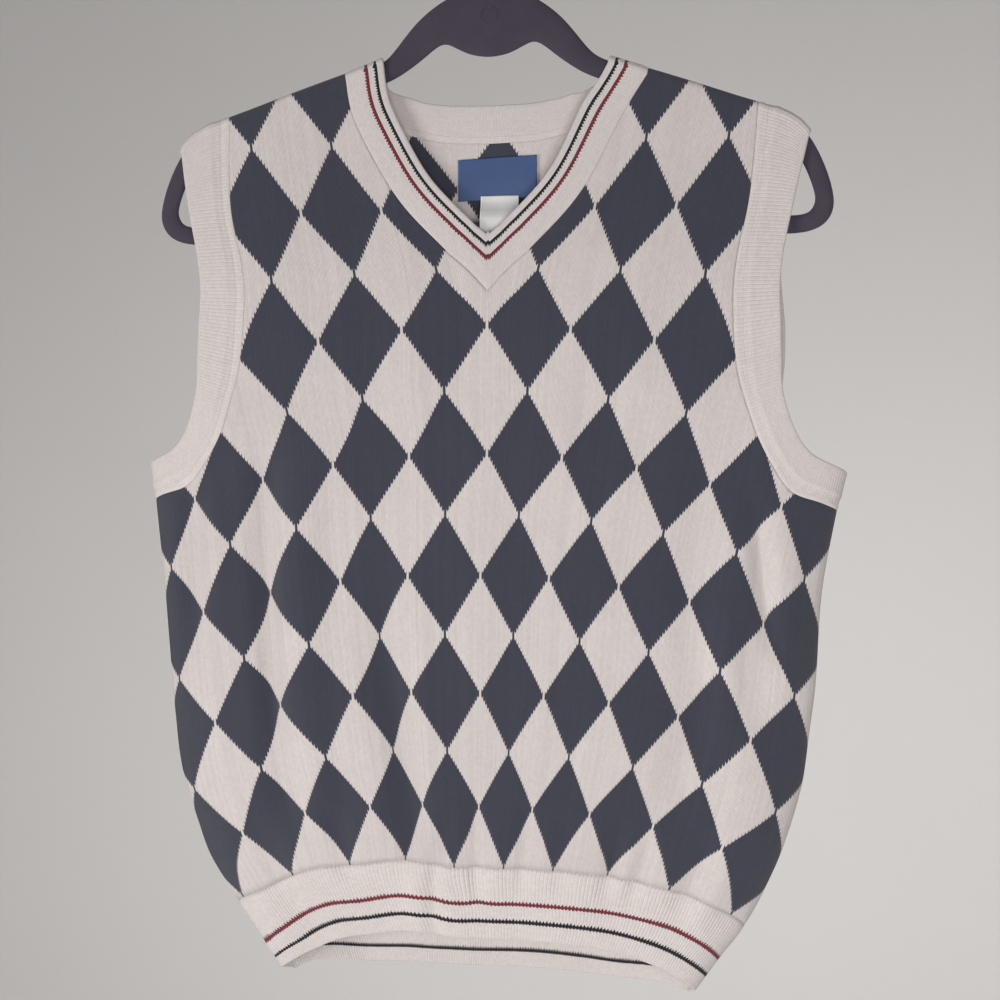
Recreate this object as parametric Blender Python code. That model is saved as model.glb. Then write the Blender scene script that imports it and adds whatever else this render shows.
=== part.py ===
"""Knitted V-neck sweater vest in a harlequin of diamonds, hanging on a flocked clothes hanger.

Metres, +Z up. The origin is where the hanger's hook bears on its rail, the vest's front faces -Y
and the wearer's left side is towards +X.

Each knitted panel is laid out in its own pattern: `across` counts half diamonds from the panel's
middle (+ towards +X) and `row` counts rows of diamonds, with 0 at the join of the front rib.
`hang` turns a place in the pattern into the point of the panel's inner face that it hangs at, and
every wall is raised outwards from such points, so that neighbouring pieces meet along their seams.
"""

import math
from collections import namedtuple

import bmesh
import bpy
import numpy as np
from mathutils import Vector

# ------------------------------------------------------------------ driving dimensions
SEAM_GAP = 0.0003
PANEL_WALL = 0.0018
BAND_WALL = 0.0026
RIB_WALL = 0.0022
RIB_RELIEF = 0.0006
RIBS_PER_COLUMN = 4
BAND_WIDTH = 0.0262
NECK_BAND_WIDTH = 0.0254
BAND_FLARE = 0.007
BAND_FLARE_REACH = 0.040

PANEL_HALF = 10.0
DIAMOND_HALF_WIDTH = 0.0262
DIAMOND_ROW = 0.040
V_POINT_ROW = 9.63
UNDERARM_ROW = 7.34
RIB_ROWS = 1.18
SHOULDER_END_X = 0.174

HANGER_THICK = 0.0055
HANGER_EDGE = 0.0022
HANGER_FIT = 0.0008
HOOK_WIRE = 0.0036
HOOK_BEND = 0.0235
HUB_TOP = -0.064

SIDE_FULLNESS = 4.5
SIDE_TWIST = 0.003
PATTERN_LEAN = 0.012
HEM_LEAN = 0.027
HEM_LEAN_TOP = -0.665
HEM_LEAN_REACH = 0.040
WRAP_RADIUS = HANGER_THICK / 2 + HANGER_FIT
FRONT, BACK = -1, 1
RIGHT, LEFT = -1, 1
SHOULDER_NECK_X = {RIGHT: 0.0955, LEFT: 0.1035}
# Where the front's pattern turns round to the back, a little before it meets the back at the seams.
FRONT_FOLD = {RIGHT: 9.5, LEFT: 9.75}
ROUND_THE_SIDE = 0.05

# ------------------------------------------------------------------ tables
# How far the side folds stand from the middle at each height.
SideLine = namedtuple("SideLine", "height left right")
SIDE_LINES = (
    SideLine(-0.740, 0.120, 0.116),
    SideLine(-0.712, 0.134, 0.131),
    SideLine(-0.690, 0.1475, 0.147),
    SideLine(-0.668, 0.1675, 0.165),
    SideLine(-0.643, 0.1855, 0.178),
    SideLine(-0.619, 0.195, 0.188),
    SideLine(-0.582, 0.2065, 0.199),
    SideLine(-0.547, 0.211, 0.204),
    SideLine(-0.515, 0.214, 0.208),
    SideLine(-0.457, 0.219, 0.212),
    SideLine(-0.402, 0.225, 0.222),
    SideLine(-0.377, 0.228, 0.228),
    SideLine(-0.357, 0.232, 0.233),
    SideLine(-0.335, 0.244, 0.244),
    SideLine(-0.307, 0.260, 0.260),
    SideLine(-0.280, 0.267, 0.267),
    SideLine(-0.217, 0.265, 0.265),
    SideLine(-0.090, 0.262, 0.262),
)

# How far the inner faces stand off the hanger's middle plane, and where the sides still do.
Depth = namedtuple("Depth", "height front back rim")
DEPTHS = (
    Depth(-0.740, 0.0130, 0.0150, 0.0),
    Depth(-0.700, 0.0160, 0.0165, 0.0),
    Depth(-0.668, 0.0185, 0.0180, 0.0),
    Depth(-0.642, 0.0230, 0.0195, 0.0),
    Depth(-0.615, 0.0255, 0.0200, 0.0),
    Depth(-0.567, 0.0245, 0.0185, 0.0),
    Depth(-0.487, 0.0220, 0.0165, 0.0),
    Depth(-0.417, 0.0200, 0.0145, 0.0),
    Depth(-0.345, 0.0165, 0.0120, 0.0),
    Depth(-0.290, 0.0130, 0.0100, 0.0012),
    Depth(-0.252, 0.0100, 0.0085, 0.0028),
    Depth(-0.212, 0.0062, 0.0065, WRAP_RADIUS),
    Depth(-0.167, 0.0037, 0.0043, WRAP_RADIUS),
    Depth(-0.090, WRAP_RADIUS, WRAP_RADIUS, WRAP_RADIUS),
)

# Each row of the pattern at the panel's middle: its height, how far the neck has spread the two
# sides apart, how far it drops by the side seam, how late that drop comes, and how much looser
# than at the sides the cloth is in the middle (minus where gathers draw it together there).
PatternRow = namedtuple("PatternRow", "row height spread drop late left_loose right_loose")
FRONT_ROWS = (
    PatternRow(-1.6, -0.699, 0.0, 0.031, 4.0, -0.23, -0.24),
    PatternRow(-1.2, -0.683, 0.0, 0.032, 4.0, -0.23, -0.24),
    PatternRow(0.0, -0.635, 0.0, 0.040, 4.0, -0.23, -0.24),
    PatternRow(1.0, -0.597, 0.0, 0.044, 3.3, -0.21, -0.21),
    PatternRow(2.0, -0.562, 0.0, 0.045, 2.8, -0.145, -0.15),
    PatternRow(3.0, -0.525, 0.0, 0.045, 2.6, -0.08, -0.1),
    PatternRow(4.0, -0.488, 0.0, 0.045, 2.4, -0.04, -0.07),
    PatternRow(5.0, -0.450, 0.0, 0.047, 2.3, -0.01, -0.04),
    PatternRow(6.0, -0.411, 0.0, 0.048, 2.2, 0.02, -0.01),
    PatternRow(7.0, -0.372, 0.0, 0.048, 1.9, 0.03, 0.01),
    PatternRow(8.0, -0.331, 0.0, 0.051, 1.8, 0.05, 0.03),
    PatternRow(9.0, -0.289, 0.0, 0.054, 1.8, -0.005, -0.02),
    PatternRow(10.0, -0.252, 0.0065, 0.022, 2.0, -0.045, -0.045),
    PatternRow(11.0, -0.212, 0.0175, 0.004, 2.0, -0.055, -0.055),
    PatternRow(12.0, -0.168, 0.0250, 0.0, 2.0, -0.055, -0.055),
    PatternRow(13.0, -0.127, 0.0305, 0.0, 2.0, -0.055, -0.055),
    PatternRow(13.8, -0.095, 0.0340, 0.0, 2.0, -0.055, -0.055),
)
BACK_ROWS = (
    PatternRow(-3.2, -0.729, 0.0, 0.004, 2.0, 0.05, 0.05),
    PatternRow(-2.7, -0.7076, 0.0, 0.005, 2.0, 0.05, 0.05),
    PatternRow(-1.5, -0.6555, 0.0, 0.0105, 2.0, 0.05, 0.05),
    PatternRow(0.0, -0.611, 0.0, -0.004, 2.0, 0.05, 0.05),
    PatternRow(2.0, -0.538, 0.0, -0.009, 2.0, 0.05, 0.05),
    PatternRow(4.0, -0.462, 0.0, -0.007, 2.0, 0.05, 0.05),
    PatternRow(6.0, -0.386, 0.0, 0.004, 2.0, 0.05, 0.05),
    PatternRow(8.0, -0.310, 0.0, 0.008, 2.0, 0.05, 0.05),
    PatternRow(10.0, -0.234, 0.0, 0.004, 2.0, 0.05, 0.05),
    PatternRow(11.0, -0.196, 0.0, 0.0, 2.0, 0.05, 0.05),
    PatternRow(12.0, -0.158, 0.0040, 0.0, 2.0, 0.05, 0.05),
    PatternRow(13.0, -0.120, 0.0100, 0.0, 2.0, 0.05, 0.05),
    PatternRow(13.8, -0.090, 0.0140, 0.0, 2.0, 0.05, 0.05),
)

# The cuts, as places in the pattern of the panel's +X half, from the middle or the side upwards.
Cut = namedtuple("Cut", "across row")
FRONT_NECK = (Cut(0.0, V_POINT_ROW), Cut(0.65, 10.34), Cut(1.64, 11.32), Cut(2.33, 12.4), Cut(2.45, 13.2))
BACK_NECK = (
    Cut(0.0, 11.80),
    Cut(0.95, 11.83),
    Cut(1.6, 11.92),
    Cut(2.3, 12.08),
    Cut(2.85, 12.28),
    Cut(3.25, 12.60),
    Cut(3.3, 13.1),
)
FRONT_ARMHOLE = (
    Cut(10.0, UNDERARM_ROW),
    Cut(9.1, 7.31),
    Cut(8.2, 7.30),
    Cut(7.5, 7.60),
    Cut(6.9, 8.03),
    Cut(6.4, 8.53),
    Cut(5.95, 9.05),
    Cut(5.71, 9.60),
    Cut(5.66, 10.3),
    Cut(5.69, 11.2),
    Cut(5.55, 12.3),
)
BACK_ARMHOLE = (
    Cut(10.0, 5.55),
    Cut(9.2, 5.62),
    Cut(8.3, 5.88),
    Cut(7.3, 6.60),
    Cut(6.55, 7.60),
    Cut(6.15, 8.70),
    Cut(6.05, 10.0),
    Cut(6.08, 11.2),
    Cut(6.18, 12.3),
)

# Soft folds that run up and down the cloth: forward is a ridge, back (minus) a trough, pinch draws
# the cloth towards the fold and sag lets it hang lower there.
Fold = namedtuple("Fold", "face across drift width low high forward pinch sag", defaults=(0.0, 0.0))
FOLDS = (
    Fold(FRONT, -2.4, -0.12, 1.3, -1.6, 5.6, -0.0060, 0.0040),
    Fold(FRONT, -3.8, -0.05, 1.3, -1.6, 4.6, 0.0025),
    Fold(FRONT, -7.1, 0.16, 1.1, -0.4, 7.4, -0.0045, 0.0015),
    Fold(FRONT, -5.9, 0.05, 1.3, 0.8, 7.4, 0.0025),
    Fold(FRONT, -8.2, 0.00, 0.9, 5.0, 7.0, -0.0040),
    Fold(FRONT, 6.6, -0.10, 1.3, 0.6, 7.6, -0.0030),
    Fold(FRONT, 8.3, -0.10, 0.9, 4.7, 6.9, -0.0040, 0.0010),
    Fold(FRONT, 8.4, -0.10, 1.0, 3.0, 4.9, -0.0030),
    Fold(FRONT, -7.6, 0.00, 1.1, -1.6, 1.3, -0.0040),
    Fold(FRONT, -8.0, 0.00, 2.0, -2.2, 2.0, 0.0, 0.0, 0.0045),
    Fold(FRONT, 7.7, 0.00, 1.0, -0.5, 1.3, -0.0040),
    Fold(FRONT, -0.1, 0.00, 0.8, -0.3, 1.2, -0.0030),
    Fold(FRONT, 1.7, 0.00, 0.9, -0.3, 1.2, -0.0025),
    Fold(FRONT, 3.9, 0.00, 0.9, -0.3, 1.2, -0.0022),
    Fold(FRONT, 5.8, 0.00, 0.9, -0.3, 1.4, -0.0028),
    Fold(FRONT, -5.2, 0.00, 0.9, -0.3, 1.2, -0.0024),
    Fold(BACK, -6.9, 0.06, 1.4, -1.6, 6.5, -0.0035),
    Fold(BACK, 6.3, -0.04, 1.4, -1.2, 5.8, -0.0040),
    Fold(BACK, 2.6, 0.03, 1.3, -1.9, 2.4, -0.0030),
    Fold(BACK, -2.2, 0.02, 1.2, -1.9, 1.6, -0.0028),
    Fold(BACK, 0.3, 0.00, 0.9, -1.8, -0.2, -0.0022),
    Fold(BACK, -4.6, 0.00, 0.9, -1.8, -0.1, -0.0025),
    Fold(BACK, 4.7, 0.00, 0.9, -1.8, -0.2, -0.0022),
)

# The hanger's bar from the middle of its hub to the foot of its rounded end: places on its outer
# edge, and across from each of them a place on the edge of its window.
BarPlace = namedtuple("BarPlace", "x height window_x window_height")
HANGER_ARM = (
    BarPlace(0.0000, HUB_TOP, 0.0000, -0.1100),
    BarPlace(0.0180, -0.0665, 0.0120, -0.1083),
    BarPlace(0.0330, -0.0735, 0.0225, -0.1032),
    BarPlace(0.0470, -0.0845, 0.0315, -0.1005),
    BarPlace(0.0580, -0.0975, 0.0445, -0.1105),
    BarPlace(0.0680, -0.1095, 0.0600, -0.1212),
    BarPlace(0.0800, -0.1155, 0.0755, -0.1277),
    BarPlace(0.1000, -0.1220, 0.0955, -0.1340),
    BarPlace(0.1300, -0.1320, 0.1256, -0.1437),
    BarPlace(0.1600, -0.1425, 0.1555, -0.1540),
    BarPlace(0.1850, -0.1510, 0.1795, -0.1622),
    BarPlace(0.1985, -0.1580, 0.1905, -0.1683),
    BarPlace(0.2090, -0.1710, 0.1985, -0.1775),
    BarPlace(0.2170, -0.1880, 0.2053, -0.1910),
    BarPlace(0.2215, -0.2040, 0.2095, -0.2035),
    BarPlace(0.2215, -0.2150, 0.2098, -0.2100),
    BarPlace(0.2160, -0.2240, 0.2065, -0.2158),
    BarPlace(0.2050, -0.2290, 0.1995, -0.2178),
    BarPlace(0.1900, -0.2300, 0.1890, -0.2180),
)
STEPS_BETWEEN_PLACES = 2

# Grid sizes of the two panels: columns from the middle to a side and how many of them run up past
# the armhole, rows up to the armhole, then levels of the two upper halves up to the point or
# middle of the neck, and from there to the shoulder.
Grid = namedtuple("Grid", "columns upper_columns body_rows to_neck to_shoulder")
FRONT_GRID = Grid(18, 13, 12, 6, 9)
BACK_GRID = Grid(16, 13, 12, 7, 6)
UPPER_REACH = 8.125
SHOULDER_TURN_ROWS = 0.14
SHOULDER_TURN_STEPS = 3

Label = namedtuple("Label", "left right thick columns")
NECK_LABEL = Label(-0.0210, 0.0310, 0.0008, 6)
CARE_LABEL = Label(-0.0060, 0.0190, 0.0005, 4)
# How each label falls: its back face's distance behind the hanger's middle plane (minus in front).
Fall = namedtuple("Fall", "height behind")
NECK_LABEL_FALL = (Fall(-0.1735, 0.0034), Fall(-0.187, 0.0041), Fall(-0.2005, 0.0050))
CARE_LABEL_FALL = (
    Fall(-0.1965, 0.0033),
    Fall(-0.2010, 0.0030),
    Fall(-0.2055, 0.0012),
    Fall(-0.2095, -0.0012),
    Fall(-0.2135, -0.0030),
    Fall(-0.2170, -0.0034),
    Fall(-0.2245, -0.0035),
    Fall(-0.2320, -0.0036),
    Fall(-0.2390, -0.0037),
)


# ------------------------------------------------------------------ curves through tables
def along(table, key, column, place):
    """The value of a table's column where its key column is `place`, on a smooth curve."""
    keys = [getattr(line, key) for line in table]
    values = [getattr(line, column) for line in table]
    last = len(keys) - 2
    k = min(max(sum(1 for value in keys if value <= place) - 1, 0), last)
    slopes = []
    for end in (k, k + 1):
        before, after = max(end - 1, 0), min(end + 1, last + 1)
        slopes.append((values[after] - values[before]) / (keys[after] - keys[before]))
    step = keys[k + 1] - keys[k]
    t = min(max((place - keys[k]) / step, 0.0), 1.0)
    rise = values[k + 1] - values[k]
    curve = (
        values[k]
        + rise * t * t * (3 - 2 * t)
        + step * t * (1 - t) * (slopes[0] * (1 - t) - slopes[1] * t)
    )
    return curve


def smooth_curve(places, steps):
    """Points of a smooth curve through the places, a number of steps from each to the next."""
    fine = []
    for k in range(len(places) - 1):
        before, after = places[max(k - 1, 0)], places[min(k + 2, len(places) - 1)]
        for step in range(steps):
            t = step / steps
            spot = []
            for a, b, c, d in zip(before, places[k], places[k + 1], after):
                bend = (2 * a - 5 * b + 4 * c - d) * t * t + (3 * b - a - 3 * c + d) * t**3
                spot.append(b + 0.5 * ((c - a) * t + bend))
            fine.append(tuple(spot))
    fine.append(tuple(places[-1]))
    return fine


def cut_points(cuts, fractions):
    """Places at these fractions of a cut's length."""
    spots = np.array(smooth_curve(cuts, 16))
    steps = np.linalg.norm(np.diff(spots * (DIAMOND_HALF_WIDTH, DIAMOND_ROW), axis=0), axis=1)
    lengths = np.concatenate([[0.0], np.cumsum(steps)])
    wanted = np.array(fractions) * lengths[-1]
    return [
        (float(np.interp(at, lengths, spots[:, 0])), float(np.interp(at, lengths, spots[:, 1])))
        for at in wanted
    ]


def solve(function, low, high):
    """Where an increasing function crosses zero."""
    for _ in range(40):
        middle = (low + high) / 2
        if function(middle) > 0:
            high = middle
        else:
            low = middle
    return (low + high) / 2


# ------------------------------------------------------------------ how the cloth hangs
HANGER_STATIONS = [BarPlace(*spot) for spot in smooth_curve(HANGER_ARM, STEPS_BETWEEN_PLACES)]
HANGER_SHOULDERS = [(spot.x, spot.height) for spot in HANGER_STATIONS if spot.height > -0.2]


def hanger_top(x):
    """Height of the hanger's upper edge over the shoulders."""
    places, heights = zip(*HANGER_SHOULDERS)
    return float(np.interp(abs(x), places, heights))


def section(height):
    """Middle and half width of the garment at a height."""
    left = along(SIDE_LINES, "height", "left", height)
    right = along(SIDE_LINES, "height", "right", height)
    return (right - left) / 2, (right + left) / 2


def depth_at(facing, height):
    """How far the inner face stands off the hanger's middle plane, in front or behind."""
    return along(DEPTHS, "height", "front" if facing == FRONT else "back", height)


def bulge(reach):
    """Share of the full depth that is left this far (0 to 1) from the middle to the side fold."""
    return math.sqrt(max(1.0 - min(abs(reach), 1.0) ** SIDE_FULLNESS, 0.0))


def reach_at(share, half_width, depth):
    """How far towards the side fold the cloth gets after a share of its length round there."""
    turn = np.linspace(0.0, math.pi / 2, 41)
    x = half_width * np.sin(turn)
    y = depth * np.sqrt(np.clip(1.0 - np.sin(turn) ** SIDE_FULLNESS, 0.0, 1.0))
    length = np.concatenate([[0.0], np.cumsum(np.hypot(np.diff(x), np.diff(y)))])
    return math.sin(float(np.interp(share * length[-1], length, turn)))


def drape(face, x, height, forward=0.0, past_side=False):
    """Inner face of the cloth at x and at a height counted flat, before it turns over the hanger."""
    middle, half_width = section(height)
    rim = along(DEPTHS, "height", "rim", height)
    depth = depth_at(-face if past_side else face, height)
    reach = (x - middle) / half_width
    off = rim + (depth - rim) * bulge(reach) + forward
    y = -face * off if past_side else face * off
    y -= SIDE_TWIST * max(min(reach, 1.0), -1.0) * (1.0 - rim / WRAP_RADIUS)
    lean = PATTERN_LEAN + HEM_LEAN * min(max((HEM_LEAN_TOP - height) / HEM_LEAN_REACH, 0.0), 1.0)
    z = height - lean * x * (1.0 - rim / WRAP_RADIUS)
    turn_start = hanger_top(x) + HANGER_FIT - WRAP_RADIUS
    if z > turn_start:
        angle = (z - turn_start) / WRAP_RADIUS
        y *= math.cos(angle)
        z = turn_start + WRAP_RADIUS * math.sin(angle)
    return Vector((x, y, z))


def fold_effect(face, across, row):
    """How far the folds bring a place forward, draw it sideways and let it down."""
    forward = 0.0
    shift = 0.0
    sag = 0.0
    for fold in FOLDS:
        if fold.face != face or not fold.low < row < fold.high:
            continue
        off = (across - fold.across - fold.drift * row) / fold.width
        length = fold.high - fold.low
        fade = math.sin(math.pi * (row - fold.low) / length) ** 0.8
        if abs(off) < 1:
            forward += fold.forward * fade * math.cos(math.pi * off / 2) ** 2
            sag += fold.sag * fade * math.cos(math.pi * off / 2) ** 2
        if abs(off) < 2.5:
            shift -= fold.pinch * fade * 1.6 * off * math.exp(-off * off)
    return forward, shift, sag


def fold_at(face, across):
    """How far across a panel its pattern turns round the side."""
    front = FRONT_FOLD[RIGHT] if across < 0 else FRONT_FOLD[LEFT]
    return front if face == FRONT else 2 * PANEL_HALF - front


def flat_place(face, across, row):
    """x, flat height and fold of a place in a panel's pattern, before it is draped."""
    rows = FRONT_ROWS if face == FRONT else BACK_ROWS
    far = abs(across)
    past_side = far > fold_at(face, across)
    share = (2 * PANEL_HALF - far) / fold_at(-face, across) if past_side else far / fold_at(face, across)
    forward, shift, sag = fold_effect(face, across, row)
    drop = along(rows, "row", "drop", row) * (far / PANEL_HALF) ** along(rows, "row", "late", row)
    height = along(rows, "row", "height", row) - drop - sag
    spread = along(rows, "row", "spread", row) * min(1.0, far / 0.6)
    middle, half_width = section(height)
    rim = along(DEPTHS, "height", "rim", height)
    depth = depth_at(-face if past_side else face, height)
    if past_side:
        loose = ROUND_THE_SIDE
    else:
        loose = along(rows, "row", "left_loose" if across < 0 else "right_loose", row)
    reach = reach_at(share * (1 + loose * (1 - share * share)), half_width, depth - rim)
    side = 1 if across >= 0 else -1
    x = middle + side * (half_width * reach + spread) + shift
    return x, height, forward * bulge(reach), past_side


def hang(face, across, row):
    """The point of a panel's inner face at a place in its pattern."""
    return drape(face, *flat_place(face, across, row))


def outward(face, across, row):
    """Outward direction of the cloth at a place in its pattern."""
    step = 0.03
    sideways = hang(face, across + step, row) - hang(face, across - step, row)
    upwards = hang(face, across, row + step) - hang(face, across, row - step)
    normal = sideways.cross(upwards) if face == FRONT else upwards.cross(sideways)
    return normal.normalized()


def shoulder_row(face, across):
    """The row that lies on top of the hanger's edge."""

    def over_the_top(row):
        x, height, _, _ = flat_place(face, across, row)
        return height - hanger_top(x) - HANGER_FIT + WRAP_RADIUS * (1 - math.pi / 2)

    return solve(over_the_top, 11.0, 13.8)


def side_row(height):
    """The back's row whose side seam is at this height."""
    return solve(lambda row: hang(BACK, PANEL_HALF, row).z - height, -3.0, 9.0)


def across_at(face, side, x):
    """How far from a panel's middle its shoulder passes over the hanger at x."""

    def beyond(across):
        place = side * across
        return abs(flat_place(face, place, shoulder_row(face, place))[0]) - x

    return solve(beyond, 1.0, 8.0)


def even_across(face, row, share):
    """How far across the cloth is when this share of its width has been passed."""
    rows = FRONT_ROWS if face == FRONT else BACK_ROWS
    loose = (along(rows, "row", "left_loose", row) + along(rows, "row", "right_loose", row)) / 2
    return PANEL_HALF * solve(lambda part: part * (1 + loose * (1 - part * part)) - share, 0.0, 1.0)


# ------------------------------------------------------------------ seam lines of the panels
def underarm_row(face):
    """The row at which a panel's side seam ends in the armhole."""
    return UNDERARM_ROW if face == FRONT else side_row(hang(FRONT, PANEL_HALF, UNDERARM_ROW).z)


def hem_row(face, below):
    """The row that is by the side seam where the front's row this far below its first one is."""
    return -below if face == FRONT else side_row(hang(FRONT, PANEL_HALF, -below).z)


def column_places(face, side):
    """How far across the columns of half a panel stand by the armhole, one of the front's on its fold."""
    grid = FRONT_GRID if face == FRONT else BACK_GRID
    places = [UPPER_REACH * column / grid.upper_columns for column in range(grid.upper_columns)]
    if face == FRONT:
        fold = FRONT_FOLD[side]
        rest = [fold, (fold + PANEL_HALF) / 2, PANEL_HALF]
    else:
        rest = [PANEL_HALF]
    return places + [UPPER_REACH + (rest[0] - UPPER_REACH) * part / 3 for part in range(3)] + rest


def seam_lines(face, side):
    """The cuts of half a panel: neck and armhole level by level up to the shoulder, and underarm."""
    grid = FRONT_GRID if face == FRONT else BACK_GRID
    neck_cut = FRONT_NECK if face == FRONT else BACK_NECK
    arm_cut = FRONT_ARMHOLE if face == FRONT else BACK_ARMHOLE
    tops = []
    for x in (SHOULDER_NECK_X[side], SHOULDER_END_X):
        across = across_at(face, side, x)
        tops.append(Cut(across, shoulder_row(face, side * across)))
    turns = [
        SHOULDER_TURN_ROWS * (1 - step / SHOULDER_TURN_STEPS)
        for step in range(1, SHOULDER_TURN_STEPS + 1)
    ]

    arm_path = (Cut(PANEL_HALF, underarm_row(face)),) + arm_cut[1:-1]
    arm_path += (Cut(tops[1].across, tops[1].row - SHOULDER_TURN_ROWS),)
    fine = smooth_curve(arm_path, 16)
    columns = list(reversed(column_places(face, side)[grid.upper_columns :]))
    low = [spot for spot in reversed(fine) if spot[1] < arm_path[4].row]
    under = [(across, float(np.interp(across, *zip(*low)))) for across in columns]
    upper = [Cut(*under[-1])] + [Cut(*spot) for spot in fine if spot[0] < under[-1][0] - 0.05]
    levels = grid.to_neck + grid.to_shoulder
    arm = cut_points(upper, [k / levels for k in range(levels + 1)])
    arm += [(tops[1].across, tops[1].row - turn) for turn in turns]

    neck_path = neck_cut[:-1] + (Cut(tops[0].across, tops[0].row - SHOULDER_TURN_ROWS),)
    bottom = arm[0][1]
    middle_rise = neck_cut[0].row - bottom
    neck = [(0.0, bottom + middle_rise * k / grid.to_neck) for k in range(grid.to_neck)]
    neck += cut_points(neck_path, [k / grid.to_shoulder for k in range(grid.to_shoulder + 1)])
    neck += [(tops[0].across, tops[0].row - turn) for turn in turns]
    return neck, arm, under


def panel_grid(face, side):
    """Pattern places of a panel's upper half on one side, level by level from the middle outwards."""
    neck, arm, _ = SEAMS[face, side]
    grid = FRONT_GRID if face == FRONT else BACK_GRID
    shares = [column / grid.upper_columns for column in range(grid.upper_columns + 1)]
    main = grid.to_neck + grid.to_shoulder
    rise = []
    for share in shares:
        across = neck[main][0] + (arm[main][0] - neck[main][0]) * share
        row = neck[main][1] + (arm[main][1] - neck[main][1]) * share
        rise.append(shoulder_row(face, side * across) - SHOULDER_TURN_ROWS - row)
    levels = []
    for level, (inner, outer) in enumerate(zip(neck, arm)):
        line = []
        for share, lift in zip(shares, rise):
            across = inner[0] + (outer[0] - inner[0]) * share
            row = inner[1] + (outer[1] - inner[1]) * share + lift * (level / main) ** 4
            if level > main:
                row = shoulder_row(face, side * across) - (arm[-1][1] - outer[1])
            if level == len(neck) - 1:
                row -= SEAM_GAP / 2 / DIAMOND_ROW
            line.append((side * across, row))
        levels.append(line)
    return levels


def side_trim():
    """How far a panel stops short of its side seam, in half diamonds."""
    return SEAM_GAP / 2 / DIAMOND_HALF_WIDTH


# ------------------------------------------------------------------ meshes
def material(name, colour, roughness, metallic=0.0):
    made = bpy.data.materials.new(name)
    made.use_nodes = True
    surface = made.node_tree.nodes["Principled BSDF"]
    surface.inputs["Base Color"].default_value = (*colour, 1.0)
    surface.inputs["Roughness"].default_value = roughness
    surface.inputs["Metallic"].default_value = metallic
    made.diffuse_color = (*colour, 1.0)
    return made


def solid(name, points, faces, finish):
    """One closed body, its faces pointing outwards."""
    mesh = bpy.data.meshes.new(name)
    mesh.from_pydata([tuple(point) for point in points], [], faces)
    body = bmesh.new()
    body.from_mesh(mesh)
    if body.calc_volume(signed=True) < 0:
        bmesh.ops.reverse_faces(body, faces=body.faces)
    body.to_mesh(mesh)
    body.free()
    mesh.materials.append(finish)
    mesh.shade_smooth()
    mesh.set_sharp_from_angle(angle=math.radians(50))
    made = bpy.data.objects.new(name, mesh)
    bpy.context.collection.objects.link(made)
    return made


def wall(name, inner, directions, faces, thickness, finish):
    """A sheet raised along its outward directions into a wall, closed round its edges."""
    count = len(inner)
    points = list(inner) + [point + way * thickness for point, way in zip(inner, directions)]
    outer_faces = [tuple(k + count for k in face) for face in faces]
    inner_faces = [tuple(reversed(face)) for face in faces]
    edges = {}
    for face in faces:
        for a, b in zip(face, face[1:] + face[:1]):
            edges[(a, b)] = True
    rims = []
    for a, b in edges:
        if (b, a) in edges:
            continue
        a_out, b_out = a + count, b + count
        if (points[a] - points[b_out]).length < (points[b] - points[a_out]).length:
            rims += [(b_out, a_out, a), (b_out, a, b)]
        else:
            rims += [(b_out, a_out, b), (a_out, a, b)]
    return solid(name, points, outer_faces + inner_faces + rims, finish)


def body_columns(face, side, evenness, row):
    """How far across the columns of half a panel's body stand in a row, drawn together by the gathers."""
    places = column_places(face, side)
    line = []
    for place in places:
        across = place + (even_across(face, row, place / PANEL_HALF) - place) * evenness
        line.append(min(across, PANEL_HALF - side_trim()))
    if face == FRONT:
        line[-3:-1] = places[-3:-1]
    return line


def body_rises(face):
    """How far up to the armholes the lines of a panel's body are, level with the front's at the seams."""
    rises = [(step / FRONT_GRID.body_rows) ** 0.9 for step in range(FRONT_GRID.body_rows + 1)]
    if face == FRONT:
        return rises
    rows = [side_row(hang(FRONT, PANEL_HALF, UNDERARM_ROW * risen).z) for risen in rises]
    return [(row - rows[0]) / (rows[-1] - rows[0]) for row in rows]


def make_panel(name, face, finish):
    """A knitted panel: a block from the rib to the armholes and two halves on either side of the neck."""
    grid = FRONT_GRID if face == FRONT else BACK_GRID
    start = hem_row(face, 0.0) + SEAM_GAP / 2 / DIAMOND_ROW
    rises = body_rises(face)
    places = []
    index = {}
    faces = []

    def vertex(across, row):
        key = (round(across, 6) + 0.0, round(row, 6))
        if key not in index:
            index[key] = len(places)
            places.append(key)
        return index[key]

    def quads(lines, flip):
        for lower, upper in zip(lines, lines[1:]):
            for k in range(len(lower) - 1):
                corners = (lower[k], lower[k + 1], upper[k + 1], upper[k])
                faces.append(tuple(reversed(corners)) if flip else corners)

    for side in (RIGHT, LEFT):
        _, arm, under = SEAMS[face, side]
        tops = [arm[0][1]] * grid.upper_columns + [row for _, row in reversed(under)]
        lines = []
        for risen in rises:
            columns = body_columns(face, side, 1 - risen, start + (tops[0] - start) * risen)
            places_on = zip(columns, tops)
            lines.append([vertex(side * across, start + (top - start) * risen) for across, top in places_on])
        quads(lines, side < 0)
        levels = panel_grid(face, side)[1:]
        upper = [lines[-1][: grid.upper_columns + 1]]
        upper += [[vertex(across, row) for across, row in line] for line in levels]
        quads(upper, side < 0)
    inner = [hang(face, across, row) for across, row in places]
    directions = [outward(face, across, row) for across, row in places]
    return wall(name, inner, directions, faces, PANEL_WALL, finish)


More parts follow.
